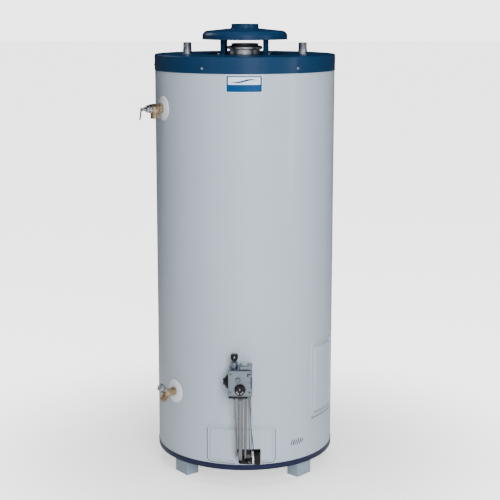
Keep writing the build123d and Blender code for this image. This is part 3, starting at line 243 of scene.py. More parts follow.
# Forged brass, tumbled clean: warm and slightly pinkish, with a soft sandy skin.
grained_metal("forged_brass", "d9c3a2", "a58e6c", 1.4, 0.32, 0.12)
# Turned stainless steel for stems, levers and bonnets.
grained_metal("turned_stainless", "dadcde", "8f949a", 2.0, 0.22, 0.04, stretch=(1, 1, 5))
# Zinc-plated screws and bolts: bright, with a thin grey film.
grained_metal("zinc_plate", "e8e9ea", "b9bcbe", 1.0, 0.28, 0.03)
# Rolled steel with its mill scale on.
grained_metal("rolled_steel", "6f7074", "3c3d40", 6.0, 0.5, 0.05)
# Steel with a dark zinc plating, as on flare nuts and cover screws.
grained_metal("dark_plated_steel", "7b7d80", "3e4043", 1.5, 0.32, 0.05)
# Spring wire, drawn and polished.
grained_metal("spring_wire", "c4c6c8", "84878b", 0.8, 0.25, 0.02)
# Cast magnesium alloy of the anode, dull and chalky.
grained_metal("anode_metal", "a6a6a2", "80807c", 3.0, 0.6, 0.2)


# %% [markdown]
# ## Galvanised steel
#
# Hot-dip zinc freezes into flat crystals, the spangle, each of which leans its own way and so
# catches the light differently. A Voronoi pattern gives each crystal its own tone and gloss.


# %%  Galvanised steel
def galvanised_steel(name, spangle_mm):
    tree, shader, place = start_finish(name, Metallic=1.0)
    crystal = add_node(tree, "ShaderNodeTexVoronoi", {"Vector": place, "Scale": per(spangle_mm)})
    lean = add_node(tree, "ShaderNodeSeparateColor", {"Color": crystal.outputs["Color"]})
    fine = {"Vector": place, "Scale": per(1.5), "Detail": 3.0}
    skin = add_node(tree, "ShaderNodeTexNoise", fine).outputs["Fac"]
    add_tone(tree, shader, lean.outputs[0], "c6cacd", "e2e4e5")
    add_gloss(tree, shader, lean.outputs[1], 0.34, 0.46)
    add_relief(tree, shader, skin, 0.3, 0.05)


galvanised_steel("galvanised_steel", 7)


# %% [markdown]
# ## Moulded plastics, rubber, iron and the rest
#
# Moulded parts copy the grain of their mould: a fine, shallow texture that breaks up the
# highlight. Rubber and painted iron differ from them in gloss and in how coarse the grain is, so
# one recipe serves for all of them.


# %%  Moulded and painted surfaces
def moulded(name, colour, roughness, grain_mm, depth_mm, shade, specular=0.5):
    tree, shader, place = start_finish(name, IOR=1.5, Specular_IOR_Level=specular)
    noise = {"Vector": place, "Scale": per(grain_mm), "Detail": 4.0, "Roughness": 0.55}
    grain = add_node(tree, "ShaderNodeTexNoise", noise).outputs["Fac"]
    add_tone(tree, shader, grain, shade, colour)
    add_gloss(tree, shader, grain, roughness - 0.06, roughness + 0.08)
    add_relief(tree, shader, grain, 0.3, depth_mm)


moulded("black_phenolic", "0e0f11", 0.34, 0.9, 0.04, shade="08090a", specular=0.3)
moulded("painted_iron", "101113", 0.45, 1.8, 0.12, shade="08090a", specular=0.3)
moulded("cast_iron", "2c2b2a", 0.7, 2.5, 0.4, shade="1d1c1b")
moulded("grey_acetal", "8f9a9a", 0.4, 0.8, 0.03, shade="828d8e")
moulded("white_polypropylene", "e6e8e8", 0.42, 1.2, 0.04, shade="dcdfe0")
moulded("escutcheon_abs", "dfe2e4", 0.34, 1.0, 0.03, shade="d3d7da")
moulded("gasket_rubber", "1b1b1c", 0.75, 1.5, 0.08, shade="131314")
moulded("glass_lining", "2f3b52", 0.18, 12.0, 0.08, shade="27324a")
moulded("polyurethane_foam", "e3cf92", 0.85, 4.0, 0.6, shade="c9b172")
moulded("steatite_ceramic", "e9ebea", 0.4, 1.0, 0.05, shade="dcdedd")
moulded("badge_blue_vinyl", "023f6e", 0.3, 6.0, 0.01, shade="023a68", specular=0.2)
moulded("badge_white_vinyl", "d9e8f4", 0.3, 6.0, 0.01, shade="d2e2ef", specular=0.2)
moulded("printed_ink", "1d2226", 0.6, 2.0, 0.01, shade="171b1f")
moulded("white_print", "eceeef", 0.5, 2.0, 0.01, shade="e2e4e6")
print(len(finishes), "finishes")

# %% [markdown]
# ## Finishes on the CAD pieces
#
# Every CAD piece gets the finish of the real one, including those that can only be seen when the
# heater is opened, because the model may be taken apart later.

# %%  Assign finishes
cad_finishes = {
    "light_grey_enamel": "jacket burner_door access_cover",
    "dark_blue_enamel": "top_pan draft_hood_bell draft_hood_collar draft_hood_legs",
    "navy_enamel": "bottom_pan",
    "foot_enamel": "foot_front_left foot_front_right foot_rear_left foot_rear_right",
    "zinc_plate": "foot_bolts casing_screws control_screws handhole_bolts",
    "galvanised_steel": "flue_ring cold_water_nipple hot_water_nipple burner_tray "
    "inner_door pilot_burner",
    "rolled_steel": "tank_spuds flue_tube flue_baffle combustion_skirt handhole_cover",
    "glass_lining": "tank_shell tank_bottom_head tank_top_head",
    "polyurethane_foam": "insulation",
    "anode_metal": "anode_rod",
    "white_polypropylene": "dip_tube",
    "die_cast_aluminium": "control_body control_cover",
    "painted_iron": "control_flange",
    "black_phenolic": "temperature_dial gas_cock_knob regulator_cap",
    "grey_acetal": "reset_button",
    "spring_wire": "reset_spring relief_spring",
    "forged_brass": "thermostat_probe tube_nuts burner_orifice relief_body drain_body",
    "drawn_aluminium": "manifold_tube pilot_tube thermocouple_lead",
    "cast_iron": "main_burner",
    "escutcheon_abs": "relief_escutcheon drain_escutcheon",
    "turned_stainless": "relief_bonnet relief_lever relief_stem drain_stem drain_handle",
    "gasket_rubber": "handhole_gasket",
    "badge_blue_vinyl": "badge_plate",
}
for finish_name, node_names in cad_finishes.items():
    for node_name in node_names.split():
        mesh = nodes[node_name].data
        mesh.materials.clear()
        mesh.materials.append(finishes[finish_name])
unfinished = set(nodes) - {n for names in cad_finishes.values() for n in names.split()}
print("CAD pieces without a finish:", unfinished or "none")

# %% [markdown]
# ## The studio
#
# The heater stands on a pale floor in soft light: one large light in front, one overhead, and
# weaker ones at the sides. Two more serve only to put glints on the metal. The sides of a tall
# glossy cylinder mirror whatever stands beside it,
# so the surroundings are kept dim there, and that gives the dark edges that make it look round.

# %%  Camera
camera_azimuth = 2.4
camera_distance, camera_height, camera_tilt = 4.635, 1.750, 10.07
camera_data = bpy.data.cameras.new("studio_camera")
camera_data.sensor_width = 36.0
camera_data.lens = 88.3
camera_data.shift_x = 0.0103
camera_data.shift_y = -0.05
camera = add_to_scene("studio_camera", camera_data)
camera.location = (
    camera_distance * sin(radians(camera_azimuth)),
    -camera_distance * cos(radians(camera_azimuth)),
    camera_height,
)
camera.rotation_euler = (radians(90 - camera_tilt), 0, radians(camera_azimuth))
bpy.context.scene.camera = camera


# %%  Lights and floor
def softbox(name, azimuth, distance, height, width, tall, power, colour="ffffff"):
    """A large area light that stands round the heater at that azimuth and faces its middle."""
    data = bpy.data.lights.new(name, "AREA")
    data.shape = "RECTANGLE"
    data.size, data.size_y = width, tall
    data.energy = power
    data.color = paint(colour)[:3]
    light = add_to_scene(name, data)
    a = radians(azimuth)
    light.location = (distance * sin(a), -distance * cos(a), height)
    aim = Vector((0, 0, 0.9)) - light.location
    light.rotation_euler = aim.to_track_quat("-Z", "Y").to_euler()
    return light


softbox("key_light", 14, 4.2, 2.1, 1.5, 3.0, 220).visible_glossy = False
softbox("fill_light", -38, 4.6, 1.8, 0.5, 3.0, 5, "ffdccb")
softbox("edge_light", 62, 4.4, 1.8, 0.5, 2.8, 26)
softbox("top_light", 0, 0.6, 4.6, 3.0, 3.0, 130).visible_glossy = False
softbox("side_glint", -115, 3.6, 3.2, 1.6, 1.6, 34).visible_diffuse = False
softbox("glint_light", 8, 4.4, 2.3, 1.4, 2.6, 26).visible_diffuse = False

floor_bm = bmesh.new()
bmesh.ops.create_circle(floor_bm, cap_ends=True, segments=96, radius=60)
floor_mesh = bpy.data.meshes.new("studio_floor")
floor_bm.to_mesh(floor_mesh)
floor_bm.free()
floor = add_to_scene("studio_floor", floor_mesh)

# %% [markdown]
# The floor is white paper that glows a little near the feet and more strongly further out, as a
# light table does. Only the eye sees the glow, so it lights nothing, and the feet keep their
# soft shadow.

# %%  Lit paper
tree, shader, place = start_finish("floor_paper", Roughness=0.8, IOR=1.45)
shader.inputs["Base Color"].default_value = paint("f6f6f6")
shader.inputs["Emission Color"].default_value = paint("ffffff")
fibre = add_node(tree, "ShaderNodeTexNoise", {"Vector": place, "Scale": per(3), "Detail": 3.0})
fibre_bump = add_node(
    tree, "ShaderNodeBump",
    {"Height": fibre.outputs["Fac"], "Strength": 0.2, "Distance": 0.05 * MM},
)
tree.links.new(fibre_bump.outputs[0], shader.inputs["Normal"])
from_axis = add_node(tree, "ShaderNodeVectorMath", {0: place}, operation="LENGTH")
glow = add_node(
    tree,
    "ShaderNodeMapRange",
    {
        "Value": from_axis.outputs["Value"], "From Min": 0.3, "From Max": 1.6, "To Min": 1.0,
        "To Max": 3.0,
    },
    interpolation_type="SMOOTHSTEP",
)
by_eye = add_node(tree, "ShaderNodeLightPath")
lit = add_node(
    tree, "ShaderNodeMath", {0: glow.outputs[0], 1: by_eye.outputs["Is Camera Ray"]},
    operation="MULTIPLY",
)
tree.links.new(lit.outputs[0], shader.inputs["Emission Strength"])
floor_mesh.materials.append(finishes["floor_paper"])

# %%  Surroundings
world = bpy.data.worlds.new("studio_world")
bpy.context.scene.world = world
world.use_nodes = True
sky = world.node_tree
sky.nodes.clear()
compass = add_node(sky, "ShaderNodeTexCoord")
parts_of_way = add_node(sky, "ShaderNodeSeparateXYZ", {0: compass.outputs["Generated"]})
towards_front = add_node(
    sky,
    "ShaderNodeMapRange",
    {
        "Value": parts_of_way.outputs["Y"], "From Min": -0.4, "From Max": -1.0, "To Min": 0.02,
        "To Max": 1.3,
    },
    interpolation_type="SMOOTHSTEP",
)
room = add_node(
    sky, "ShaderNodeBackground", {"Color": paint("ccd2dc"), "Strength": towards_front.outputs[0]},
)
backdrop = add_node(sky, "ShaderNodeBackground", {"Color": paint("ffffff"), "Strength": 3.6})
seen = add_node(sky, "ShaderNodeLightPath")
studio = add_node(
    sky,
    "ShaderNodeMixShader",
    {0: seen.outputs["Is Camera Ray"], 1: room.outputs[0], 2: backdrop.outputs[0]},
)
add_node(sky, "ShaderNodeOutputWorld", {"Surface": studio.outputs[0]})

# %% [markdown]
# ## Shaping tools
#
# Most fittings are turned on a lathe, pressed from sheet or cut from hexagon bar, so a few small
# tools cover them. Each works in millimetres and returns points and faces; a piece is then put
# in place by a matrix whose Z axis points the way that the real part was machined.


# %%  Placing
def facing(origin, outwards, up=(0, 0, 1)):
    """A matrix at origin in metres: its Z points outwards and its Y leans towards up."""
    z = Vector(outwards).normalized()
    x = Vector(up).cross(z).normalized()
    return Matrix.Translation(Vector(origin)) @ Matrix((x, z.cross(x), z)).transposed().to_4x4()


def radial(azimuth, radius, height):
    """A matrix square to the tank's radius, in metres: Z points outwards and Y points up."""
    a = radians(azimuth)
    return facing((radius * sin(a), -radius * cos(a), height), (sin(a), -cos(a), 0))


def upright(x, y, z):
    """A matrix whose Z points straight up."""
    return Matrix.Translation(Vector((x, y, z)))


# %%  Rows of points, and what is built from them
def loft(rows, closed=True, ends=False, loop=False):
    """Joins rows of points. closed joins each row's ends, ends caps the first and last row."""
    count, points, faces = len(rows[0]), [p for row in rows for p in row], []
    last = count if closed else count - 1
    for i in range(len(rows) if loop else len(rows) - 1):
        j = (i + 1) % len(rows)
        for k in range(last):
            n = (k + 1) % count
            faces.append((i * count + k, i * count + n, j * count + n, j * count + k))
    if ends:
        faces.append(tuple(range(count))[::-1])
        faces.append(tuple((len(rows) - 1) * count + k for k in range(count)))
    return points, faces


def turned(rows, segments=72, loop=False):
    """A lathe-turned shape. A row is (radius, height), and either may depend on the angle."""
    out = []
    for r, z in rows:
        ring = []
        for k in range(segments):
            t = 2 * pi * k / segments
            radius = r(t) if callable(r) else r
            ring.append((radius * cos(t), radius * sin(t), z(t) if callable(z) else z))
        out.append(ring)
    return loft(out, loop=loop)


def hexagonal(flats):
    """The radius of a hexagon at an angle."""
    return lambda t: flats / 2 / cos((t + pi / 6) % (pi / 3) - pi / 6)


def rounded_off(shape, limit):
    """The same outline, kept inside a circle, as a chamfered nut is at its face."""
    return lambda t: min(shape(t), limit)


def hex_nut(flats, low, high, bore=0.0):
    """A chamfered hexagon nut or bolt head."""
    shape, corner = hexagonal(flats), flats / 2 / cos(pi / 6)
    face = rounded_off(shape, flats / 2 * 1.01)
    edge = (corner - flats / 2) * 0.6
    rows = [
        (bore, low), (face, low), (shape, low + edge), (shape, high - edge), (face, high),
        (bore, high),
    ]
    return turned(rows)


def rippled(radius, depth, count):
    """A fluted or knurled radius."""
    return lambda t: radius - depth * (0.5 - 0.5 * cos(count * t)) ** 1.5


def threaded(radius, depth, pitch, low, high, taper=0.0):
    """Rows of a screw thread that runs out at both ends."""
    rows, step, height = [], pitch / 6, low
    while height < high:
        fade = min(1.0, (height - low) / pitch, (high - height) / pitch)
        mean = radius - taper * (height - low) / (high - low)

        def wave(t, height=height, fade=fade, mean=mean):
            turn = (height / pitch - t / (2 * pi)) % 1
            return mean - depth * fade * abs(2 * turn - 1)

        rows.append((wave, height))
        height += step
    return rows


def rounded_box(width, height, corner, steps=6):
    """The outline of a rounded rectangle, anticlockwise."""
    out = []
    for i, (sx, sy) in enumerate(((1, 1), (-1, 1), (-1, -1), (1, -1))):
        cx, cy = sx * (width / 2 - corner), sy * (height / 2 - corner)
        for k in range(steps + 1):
            t = pi / 2 * (i + k / steps)
            out.append((cx + corner * cos(t), cy + corner * sin(t)))
    return out


def slab(outline, low, high, chamfer=0.0):
    """An outline made solid from low to high, with its upper edge broken by a chamfer."""
    cx = sum(x for x, _ in outline) / len(outline)
    cy = sum(y for _, y in outline) / len(outline)
    reach = max(sqrt((x - cx) ** 2 + (y - cy) ** 2) for x, y in outline)
    shrink = 1 - chamfer / reach
    rows = [[(x, y, low) for x, y in outline], [(x, y, high - chamfer) for x, y in outline]]
    if chamfer:
        rows.append([(cx + (x - cx) * shrink, cy + (y - cy) * shrink, high) for x, y in outline])
    return loft(rows, ends=True)


def flowing(points, steps=8):
    """Points on a smooth curve through the given ones."""
    pts = [Vector(p) for p in points]
    pts = [2 * pts[0] - pts[1]] + pts + [2 * pts[-1] - pts[-2]]
    out = []
    for a, b, c, d in zip(pts, pts[1:], pts[2:], pts[3:]):
        for k in range(steps):
            t = k / steps
            out.append(
                0.5 * (
                    2 * b + (c - a) * t + (
                        2 * a - 5 * b + 4 * c - d
                    ) * t**2 + (3 * b - a - 3 * c + d) * t**3
                )
            )
    return out + [pts[-2]]


def rod(path, radius, sides=14):
    """A round bar or tube along a path. Its radius may be a list, one for each point."""
    path = [Vector(p) for p in path]
    rows, side = [], None
    for i, point in enumerate(path):
        along = (path[min(i + 1, len(path) - 1)] - path[max(i - 1, 0)]).normalized()
        if side is None:
            side = along.orthogonal().normalized()
        side = (side - side.dot(along) * along).normalized()
        other, r = along.cross(side), radius[i] if isinstance(radius, list) else radius
        rows.append(
            [
                tuple(
                    point + r * (cos(2 * pi * k / sides) * side + sin(2 * pi * k / sides) * other)
                ) for k in range(sides)
            ]
        )
    return loft(rows, ends=True)


def wrapped(part, azimuth, height):
    """Bends a flat part round the jacket: X runs round it, Y up it, and Z out of it."""
    points, faces = part
    out, face = [], jacket_radius / MM
    for x, y, z in points:
        a = radians(azimuth) + x / face
        out.append(((face + z) * sin(a), -(face + z) * cos(a), y + height / MM))
    return out, faces


def sheet(width, height, corner, low, high, columns=28, edge=0.0):
    """A rounded plate that is cut into columns, so that it can be wrapped round the jacket."""
    across = [-width / 2 + corner * (1 - cos(pi / 2 * k / 5)) for k in range(6)]
    inner = [-width / 2 + corner + (width - 2 * corner) * k / columns for k in range(1, columns)]
    across = across + inner + [-x for x in reversed(across)]
    rows = []
    for x in across:
        past = max(0.0, abs(x) - (width / 2 - corner))
        top = height / 2 - corner + sqrt(max(0.0, corner**2 - past**2))
        rows.append(
            [
                (x, -top, low), (x, top, low), (x, top, high - edge), (x, top - edge, high),
                (x, -top + edge, high), (x, -top, high - edge),
            ]
        )
    return loft(rows, ends=True)


def moved(part, matrix):
    """A part in another place, for the branches of a body; the matrix is in millimetres."""
    points, faces = part
    return [tuple(matrix @ Vector(p)) for p in points], faces


def shift(x, y, z):
    """A matrix that only moves, in millimetres."""
    return Matrix.Translation((x, y, z))


def plate(width, height, corner, low, high, place, chamfer=0.0, steps=6):
    """A rounded rectangular plate from low to high, moved to its place."""
    return moved(slab(rounded_box(width, height, corner, steps), low, high, chamfer), place)


def make_piece(name, parts, finish, place=None, body="heater", replaced=(), crease=34):
    """Joins parts into one object, smooths it up to the crease angle and gives it to a body."""
    points, faces = [], []
    for part_points, part_faces in parts:
        start = len(points)
        points += part_points
        faces += [tuple(start + i for i in face) for face in part_faces]
    matrix = place or Matrix()
    mesh = bpy.data.meshes.new(name)
    mesh.from_pydata([matrix @ (Vector(p) * MM) for p in points], [], faces)
    bm = bmesh.new()
    bm.from_mesh(mesh)
    bmesh.ops.remove_doubles(bm, verts=bm.verts, dist=1e-7)
    bmesh.ops.dissolve_degenerate(bm, edges=bm.edges, dist=1e-7)
    bmesh.ops.recalc_face_normals(bm, faces=bm.faces)
    for face in bm.faces:
        face.smooth = True
    for edge in bm.edges:
        edge.smooth = not (len(edge.link_faces) == 2 and edge.calc_face_angle(0) > radians(crease))
    bm.to_mesh(mesh)
    bm.free()
    mesh.materials.append(finishes[finish])
    piece = add_to_scene(name, mesh)
    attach(piece, body)
    if replaced:
        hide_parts(*replaced)
    return piece


def islands(node):
    """The boxes of the separate solids in a CAD node, as (low, high) corners."""
    bm = bmesh.new()
    bm.from_mesh(nodes[node].data)
    bmesh.ops.remove_doubles(bm, verts=bm.verts, dist=1e-6)
    seen, found = set(), []
    for first in bm.verts:
        if first in seen:
            continue
        group, queue = [], [first]
        seen.add(first)
        while queue:
            vert = queue.pop()
            group.append(vert.co.copy())
            for edge in vert.link_edges:
                other = edge.other_vert(vert)
                if other not in seen:
                    seen.add(other)
                    queue.append(other)
        found.append((Vector(map(min, zip(*group))), Vector(map(max, zip(*group))), group))
    bm.free()
    return found


# %% [markdown]
# ## Screws
#
# The sheet-metal pieces are held by pan-head screws. A cross recess is punched into each domed
# head, and it is the recess that tells the eye that a bright dot is a screw. The head's surface
# is a dome less the two crossed slots, which taper in depth towards their ends.


# %%  Screws
def screw_head(radius, tall):
    """A pan head with a cross recess, standing on z = 0."""
    slot_half, slot_reach = radius * 0.16, radius * 0.62

    def face(r):
        def level(t):
            x, y = abs(r * cos(t)), abs(r * sin(t))
            inside = min(x, y) < slot_half and max(x, y) < slot_reach
            dome = tall * (1 - 0.35 * (r / radius) ** 3)
            return dome - (tall * 0.55 * (1 - max(x, y) / slot_reach) + 0.15 if inside else 0)

        return level

    rows = [(0, 0), (radius, 0), (radius, tall * 0.55), (radius * 0.95, tall * 0.68)]
    rows += [
        (radius * s, face(radius * s)) for s in (
            0.86, 0.74, 0.64, 0.6, 0.48, 0.36, 0.26, 0.18, 0.12, 0,
        )
    ]
    return turned(rows, segments=64)


casing_head, casing_head_tall = 4.4, 3.0  # radius and height of a pan head
control_head, control_head_tall = 3.6, 2.4  # the same, on the control
shank_radius = 1.9
pan_heads, vertical_heads = [], []
for low, high, group in islands("casing_screws"):
    if low.z > pan_low + 0.04:
        centre = (low + high) / 2
        vertical_heads.append(
            moved(
                screw_head(casing_head, casing_head_tall),
                upright(centre.x / MM, centre.y / MM, high.z / MM - casing_head_tall),
            )
        )
    else:
        reach = max(Vector((p.x, p.y)).length for p in group)
        outer = [p for p in group if Vector((p.x, p.y)).length > reach - 0.0005]
        centre = sum(outer, Vector()) / len(outer)
        matrix = radial(azimuth_of(centre), 1, centre.z)
        direction = Vector((centre.x, centre.y, 0)).normalized()
        matrix.translation = (
            direction * (reach / MM - casing_head_tall)
        ) + Vector((0, 0, centre.z / MM))
        pan_heads.append(moved(screw_head(casing_head, casing_head_tall), matrix))
shanks = []
for low, high, group in islands("casing_screws"):
    centre = (low + high) / 2 / MM
    inwards = Vector((0, 0, -1)) if low.z > pan_low + 0.04 else -Vector(
        (centre.x, centre.y, 0)
    ).normalized()
    shanks.append(rod([centre - inwards * 2, centre + inwards * 5], shank_radius))
make_piece(
    "casing_screw_heads", pan_heads + vertical_heads + shanks, "zinc_plate",
    replaced=["casing_screws"],
)
print(len(pan_heads), "screws round the casing and", len(vertical_heads), "on the hood's feet")

control_heads = []
for low, high, group in islands("control_screws"):
    centre = (low + high) / 2
    place = facing(
        ((low.x + high.x) / 2 / MM, low.y / MM + control_head_tall, (low.z + high.z) / 2 / MM),
        FORWARD,
    )
    control_heads.append(moved(screw_head(control_head, control_head_tall), place))
    control_heads.append(
        rod(
            [
                (centre.x / MM, low.y / MM + control_head_tall, centre.z / MM),
                (centre.x / MM, high.y / MM, centre.z / MM),
            ],
            shank_radius,
        )
    )
make_piece("control_screw_heads", control_heads, "dark_plated_steel", replaced=["control_screws"])

# %% [markdown]
# ## Pipe nipples
#
# Each nipple is a short length of galvanised pipe with a taper thread cut on its upper end. The
# thread turns 11.5 times in an inch and its crests shine, because cutting removes the zinc. The
# threaded rows follow a true helix, so the crests rise as they go round.

# %%  Nipples
for node in ("cold_water_nipple", "hot_water_nipple"):
    low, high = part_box(node)
    centre = middle(node)
    outer, foot, top = (high.x - low.x) / 2 / MM, (low.z - pan_top) / MM, (high.z - pan_top) / MM
    rows = [
        (outer - 4.5, foot), (outer, foot), (outer, 0), (outer, top - 26),
        (outer - 0.7, top - 25.4),
    ]
    rows += threaded(outer, 1.25, 2.209, top - 25, top - 0.6, taper=0.5)
    rows += [(outer - 1.8, top), (outer - 4.0, top), (outer - 4.5, top - 0.8)]
    make_piece(
        f"{node}_pipe", [turned(rows, loop=True)], "galvanised_steel",
        upright(centre.x, centre.y, pan_top), replaced=[node],
    )

# %% [markdown]
# ## Draft hood legs
#
# Each leg is a strip of sheet with folded edges, wider at the top where it is spot-welded to the
# hood. The folds make it stiff, and the foot is bent over for its screw.

# %%  Hood legs
hood_low, hood_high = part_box("draft_hood_bell")
leg_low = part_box("draft_hood_legs")[0]
leg_tall = 2 * half_size("draft_hood_legs", 2)
leg_radius = 114  # from the tank's axis to the web of a leg
leg_parts = []
for azimuth in (-135, -45, 45, 135):
    half = [
        (12.5, leg_tall), (12.0, leg_tall - 8), (9.8, leg_tall - 20), (8.4, leg_tall - 36),
        (8.0, leg_tall - 52), (8.6, 8), (9.5, 0),
    ]
    outline = half[::-1] + [(-x, y) for x, y in half]
    web = slab(outline, 0, 1.6)
    folds = []
    for side in (-1, 1):
        inner = [(side * (x - 0.8), y, 0) for x, y in half]
        rows = [
            [
                (x, y, 0.2), (x + side * 1.3, y, 0.2), (x + side * 1.3, y, -6.5), (x, y, -6.5),
            ] for x, y, _ in inner
        ]
        folds.append(loft(rows, ends=True))
    foot = moved(
        slab(rounded_box(20, 30, 5), 0, 1.6), shift(0, 0, 15) @ Matrix.Rotation(-pi / 2, 4, "X"),
    )
    tab = moved(
        slab(rounded_box(22, 12, 3), -1.6, 0),
        shift(0, leg_tall, 6) @ Matrix.Rotation(-pi / 2, 4, "X"),
    )
    place = radial(azimuth, leg_radius, leg_low.z / MM)
    leg_parts += [moved(part, place) for part in (web, *folds, foot, tab)]
make_piece("hood_leg_brackets", leg_parts, "dark_blue_enamel", replaced=["draft_hood_legs"])

# %% [markdown]
# ## Sheet-metal edges
#
# A cut edge of thin sheet is folded over into a hem, for strength and so that it can't cut a
# hand. The hems catch a thin bright line all round the pans and the hood. The doors have pressed
# beads for the same reason, and because a plain sheet would ring and buckle.


# %%  Hems and beads
def hem(radius, level, thick):
    """A folded edge: a small ring round the tank's axis."""
    rows = [
        (
            radius + thick * cos(2 * pi * k / 10), level + thick * 1.3 * sin(2 * pi * k / 10),
        ) for k in range(10)
    ]
    return turned(rows, segments=192, loop=True)


pan_face = pan_radius / MM
hems = [hem(pan_face - 0.5, pan_low / MM + 1.2, 1.0)]
make_piece("top_pan_hem", hems, "dark_blue_enamel")
make_piece("base_pan_hem", [hem(pan_face - 0.5, base_high / MM - 1.2, 1.0)], "navy_enamel")
bell_radius = hood_high.x / MM
make_piece("hood_hem", [hem(bell_radius - 0.6, hood_low.z / MM + 1.4, 1.5)], "dark_blue_enamel")


def bead_path(width, height, corner, height_out, gap=None):
    """A closed or open run round a panel's edge. gap is (left, right) of a cut-out in its foot."""
    outline = rounded_box(width, height, corner, steps=8)
    dense = []
    for (ax, ay), (bx, by) in zip(outline, outline[1:] + outline[:1]):
        count = max(1, int(abs(bx - ax) / 6))
        dense += [
            (
                ax + (bx - ax) * k / count, ay + (by - ay) * k / count, height_out,
            ) for k in range(count)
        ]
    if gap is None:
        return dense + dense[:2]
    foot = -height / 2 + 0.01
    start = next(i for i, (x, y, _) in enumerate(dense) if y < foot and x > gap[1])
    ordered = dense[start:] + dense[:start]
    keep = [p for p in ordered if not (p[1] < foot and gap[0] < p[0] < gap[1])]
    return keep


door_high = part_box("burner_door")[1]
door_tall = 2 * half_size("burner_door", 2)
door_wide = 2 * jacket_radius / MM * atan2(
    door_high.x, sqrt(max(jacket_radius**2 - door_high.x**2, 1e-6)),
)
door_middle = middle("burner_door").z
door_notch = (-20, 72)
door_beads = []
for inset, out, thick, corner in ((3.6, -0.6, 4.0, 15), (14.5, 2.4, 3.4, 12)):
    path = bead_path(door_wide - 2 * inset, door_tall - 2 * inset, corner, out, gap=door_notch)
    door_beads.append(wrapped(rod(path, thick, sides=12), 0, door_middle))
make_piece("burner_door_beads", door_beads, "light_grey_enamel")
# A dark rod runs just outside the door's sides and foot, and not along its top: painted shadow in
# the gap under the door's edge, where the light from above doesn't reach. It takes the rubber
# finish only for its dark colour.
outer = bead_path(door_wide + 1.6, door_tall + 1.6, 17, 0.3, gap=door_notch)
below_top = [p for p in outer if p[1] < door_tall / 2 - 14]
sides = [[p for p in below_top if p[0] > 0], [p for p in below_top if p[0] < 0]]
make_piece(
    "burner_door_painted_gap_shadow", [wrapped(rod(run, 1.2, sides=8), 0, door_middle) for run in sides],
    "gasket_rubber",
)

cover_tall, cover_wide = 2 * half_size("access_cover", 2), 168.0
cover_azimuth = azimuth_of(middle("access_cover"))
cover_middle = middle("access_cover").z
cover_beads = []
for inset, out, thick, corner in ((4.4, -0.6, 4.8, 11), (24.0, 2.2, 5.0, 9)):
    flat = rod(
        bead_path(cover_wide - 2 * inset, cover_tall - 2 * inset, corner, out), thick, sides=12,
    )
    cover_beads.append(wrapped(flat, cover_azimuth, cover_middle))
make_piece("access_cover_beads", cover_beads, "light_grey_enamel")
# Two dark rods run along the foot of the cover, one under its outer edge and one under its inner
# bead: painted shadow under the lower edges, which face away from the light. They are not a seal,
# and take the rubber finish only for its dark colour.
shadow_lines = []
for inset, out in ((-1.4, 0.6), (17.4, 1.8)):
    half, level = cover_wide / 2 - inset - 10, -cover_tall / 2 + inset
    run = [(-half + 2 * half * k / 30, level, out) for k in range(31)]
    shadow_lines.append(wrapped(rod(run, 1.5, sides=8), cover_azimuth, cover_middle))
make_piece("access_cover_painted_shadow", shadow_lines, "gasket_rubber")
print(f"burner door {door_wide:.0f} mm wide, side cover at {cover_azimuth:.1f} degrees")

# %% [markdown]
# ## Escutcheons
#
# A moulded ring covers the hole in the jacket round each valve. It is domed, and its rim follows
# the curve of the jacket all the way round, which a flat disc could not do.


# %%  Escutcheons
def draped_dome(azimuth, height, radius, hole, rise):
    """A domed ring whose rim lies on the jacket."""
    rows = []
    for share, lift in (
        (1.0, 0.0), (1.0, 1.6), (0.985, 2.3), (0.95, 2.8), (0.85, 3.6), (0.7, 4.6), (0.55, 5.6),
        (0.45, rise), (0.4, rise), (0.36, rise - 0.6), (hole / radius, rise - 2.0),
        (hole / radius, 0.0),
    ):
        r = radius * share
        rows.append([(r * cos(2 * pi * k / 72), r * sin(2 * pi * k / 72), lift) for k in range(72)])
    return wrapped(loft(rows, loop=True), azimuth, height)


relief_axis = Vector(joints["relief_stem_lift"]["axis"]).normalized()
relief_pin = Vector(joints["relief_lever_turn"]["pos_m"])
relief_azimuth = azimuth_of(relief_axis)
relief_pin_height = 83  # from the valve's root to the lever's pin
relief_root = relief_pin - relief_axis * relief_pin_height * MM
stem_axis = Vector(joints["drain_stem_lift"]["axis"]).normalized()
drain_handle_height = 38  # from the middle of the valve to its handle
drain_node = Vector(joints["drain_handle_turn"]["pos_m"]) - stem_axis * drain_handle_height * MM
drain_azimuth = azimuth_of(stem_axis)
spout_axis = Vector(mounts["drain_outlet"]["axis"]).normalized()
make_piece(
    "relief_escutcheon_dome", [draped_dome(relief_azimuth, relief_root.z, 44.5, 14.0, 6.4)],
    "escutcheon_abs", replaced=["relief_escutcheon"],
)
drain_dome = draped_dome(drain_azimuth, drain_node.z, 44.5, 14.0, 4.6)
make_piece("drain_escutcheon_dome", [drain_dome], "escutcheon_abs", replaced=["drain_escutcheon"])

# %% [markdown]
# ## Relief valve
#
# The body is a brass forging with machined ends: a wrench hexagon at the tank, a round chamber,
# and an outlet that points down. The bonnet holds the spring, and the lever on top lifts the
# stem by hand for testing.

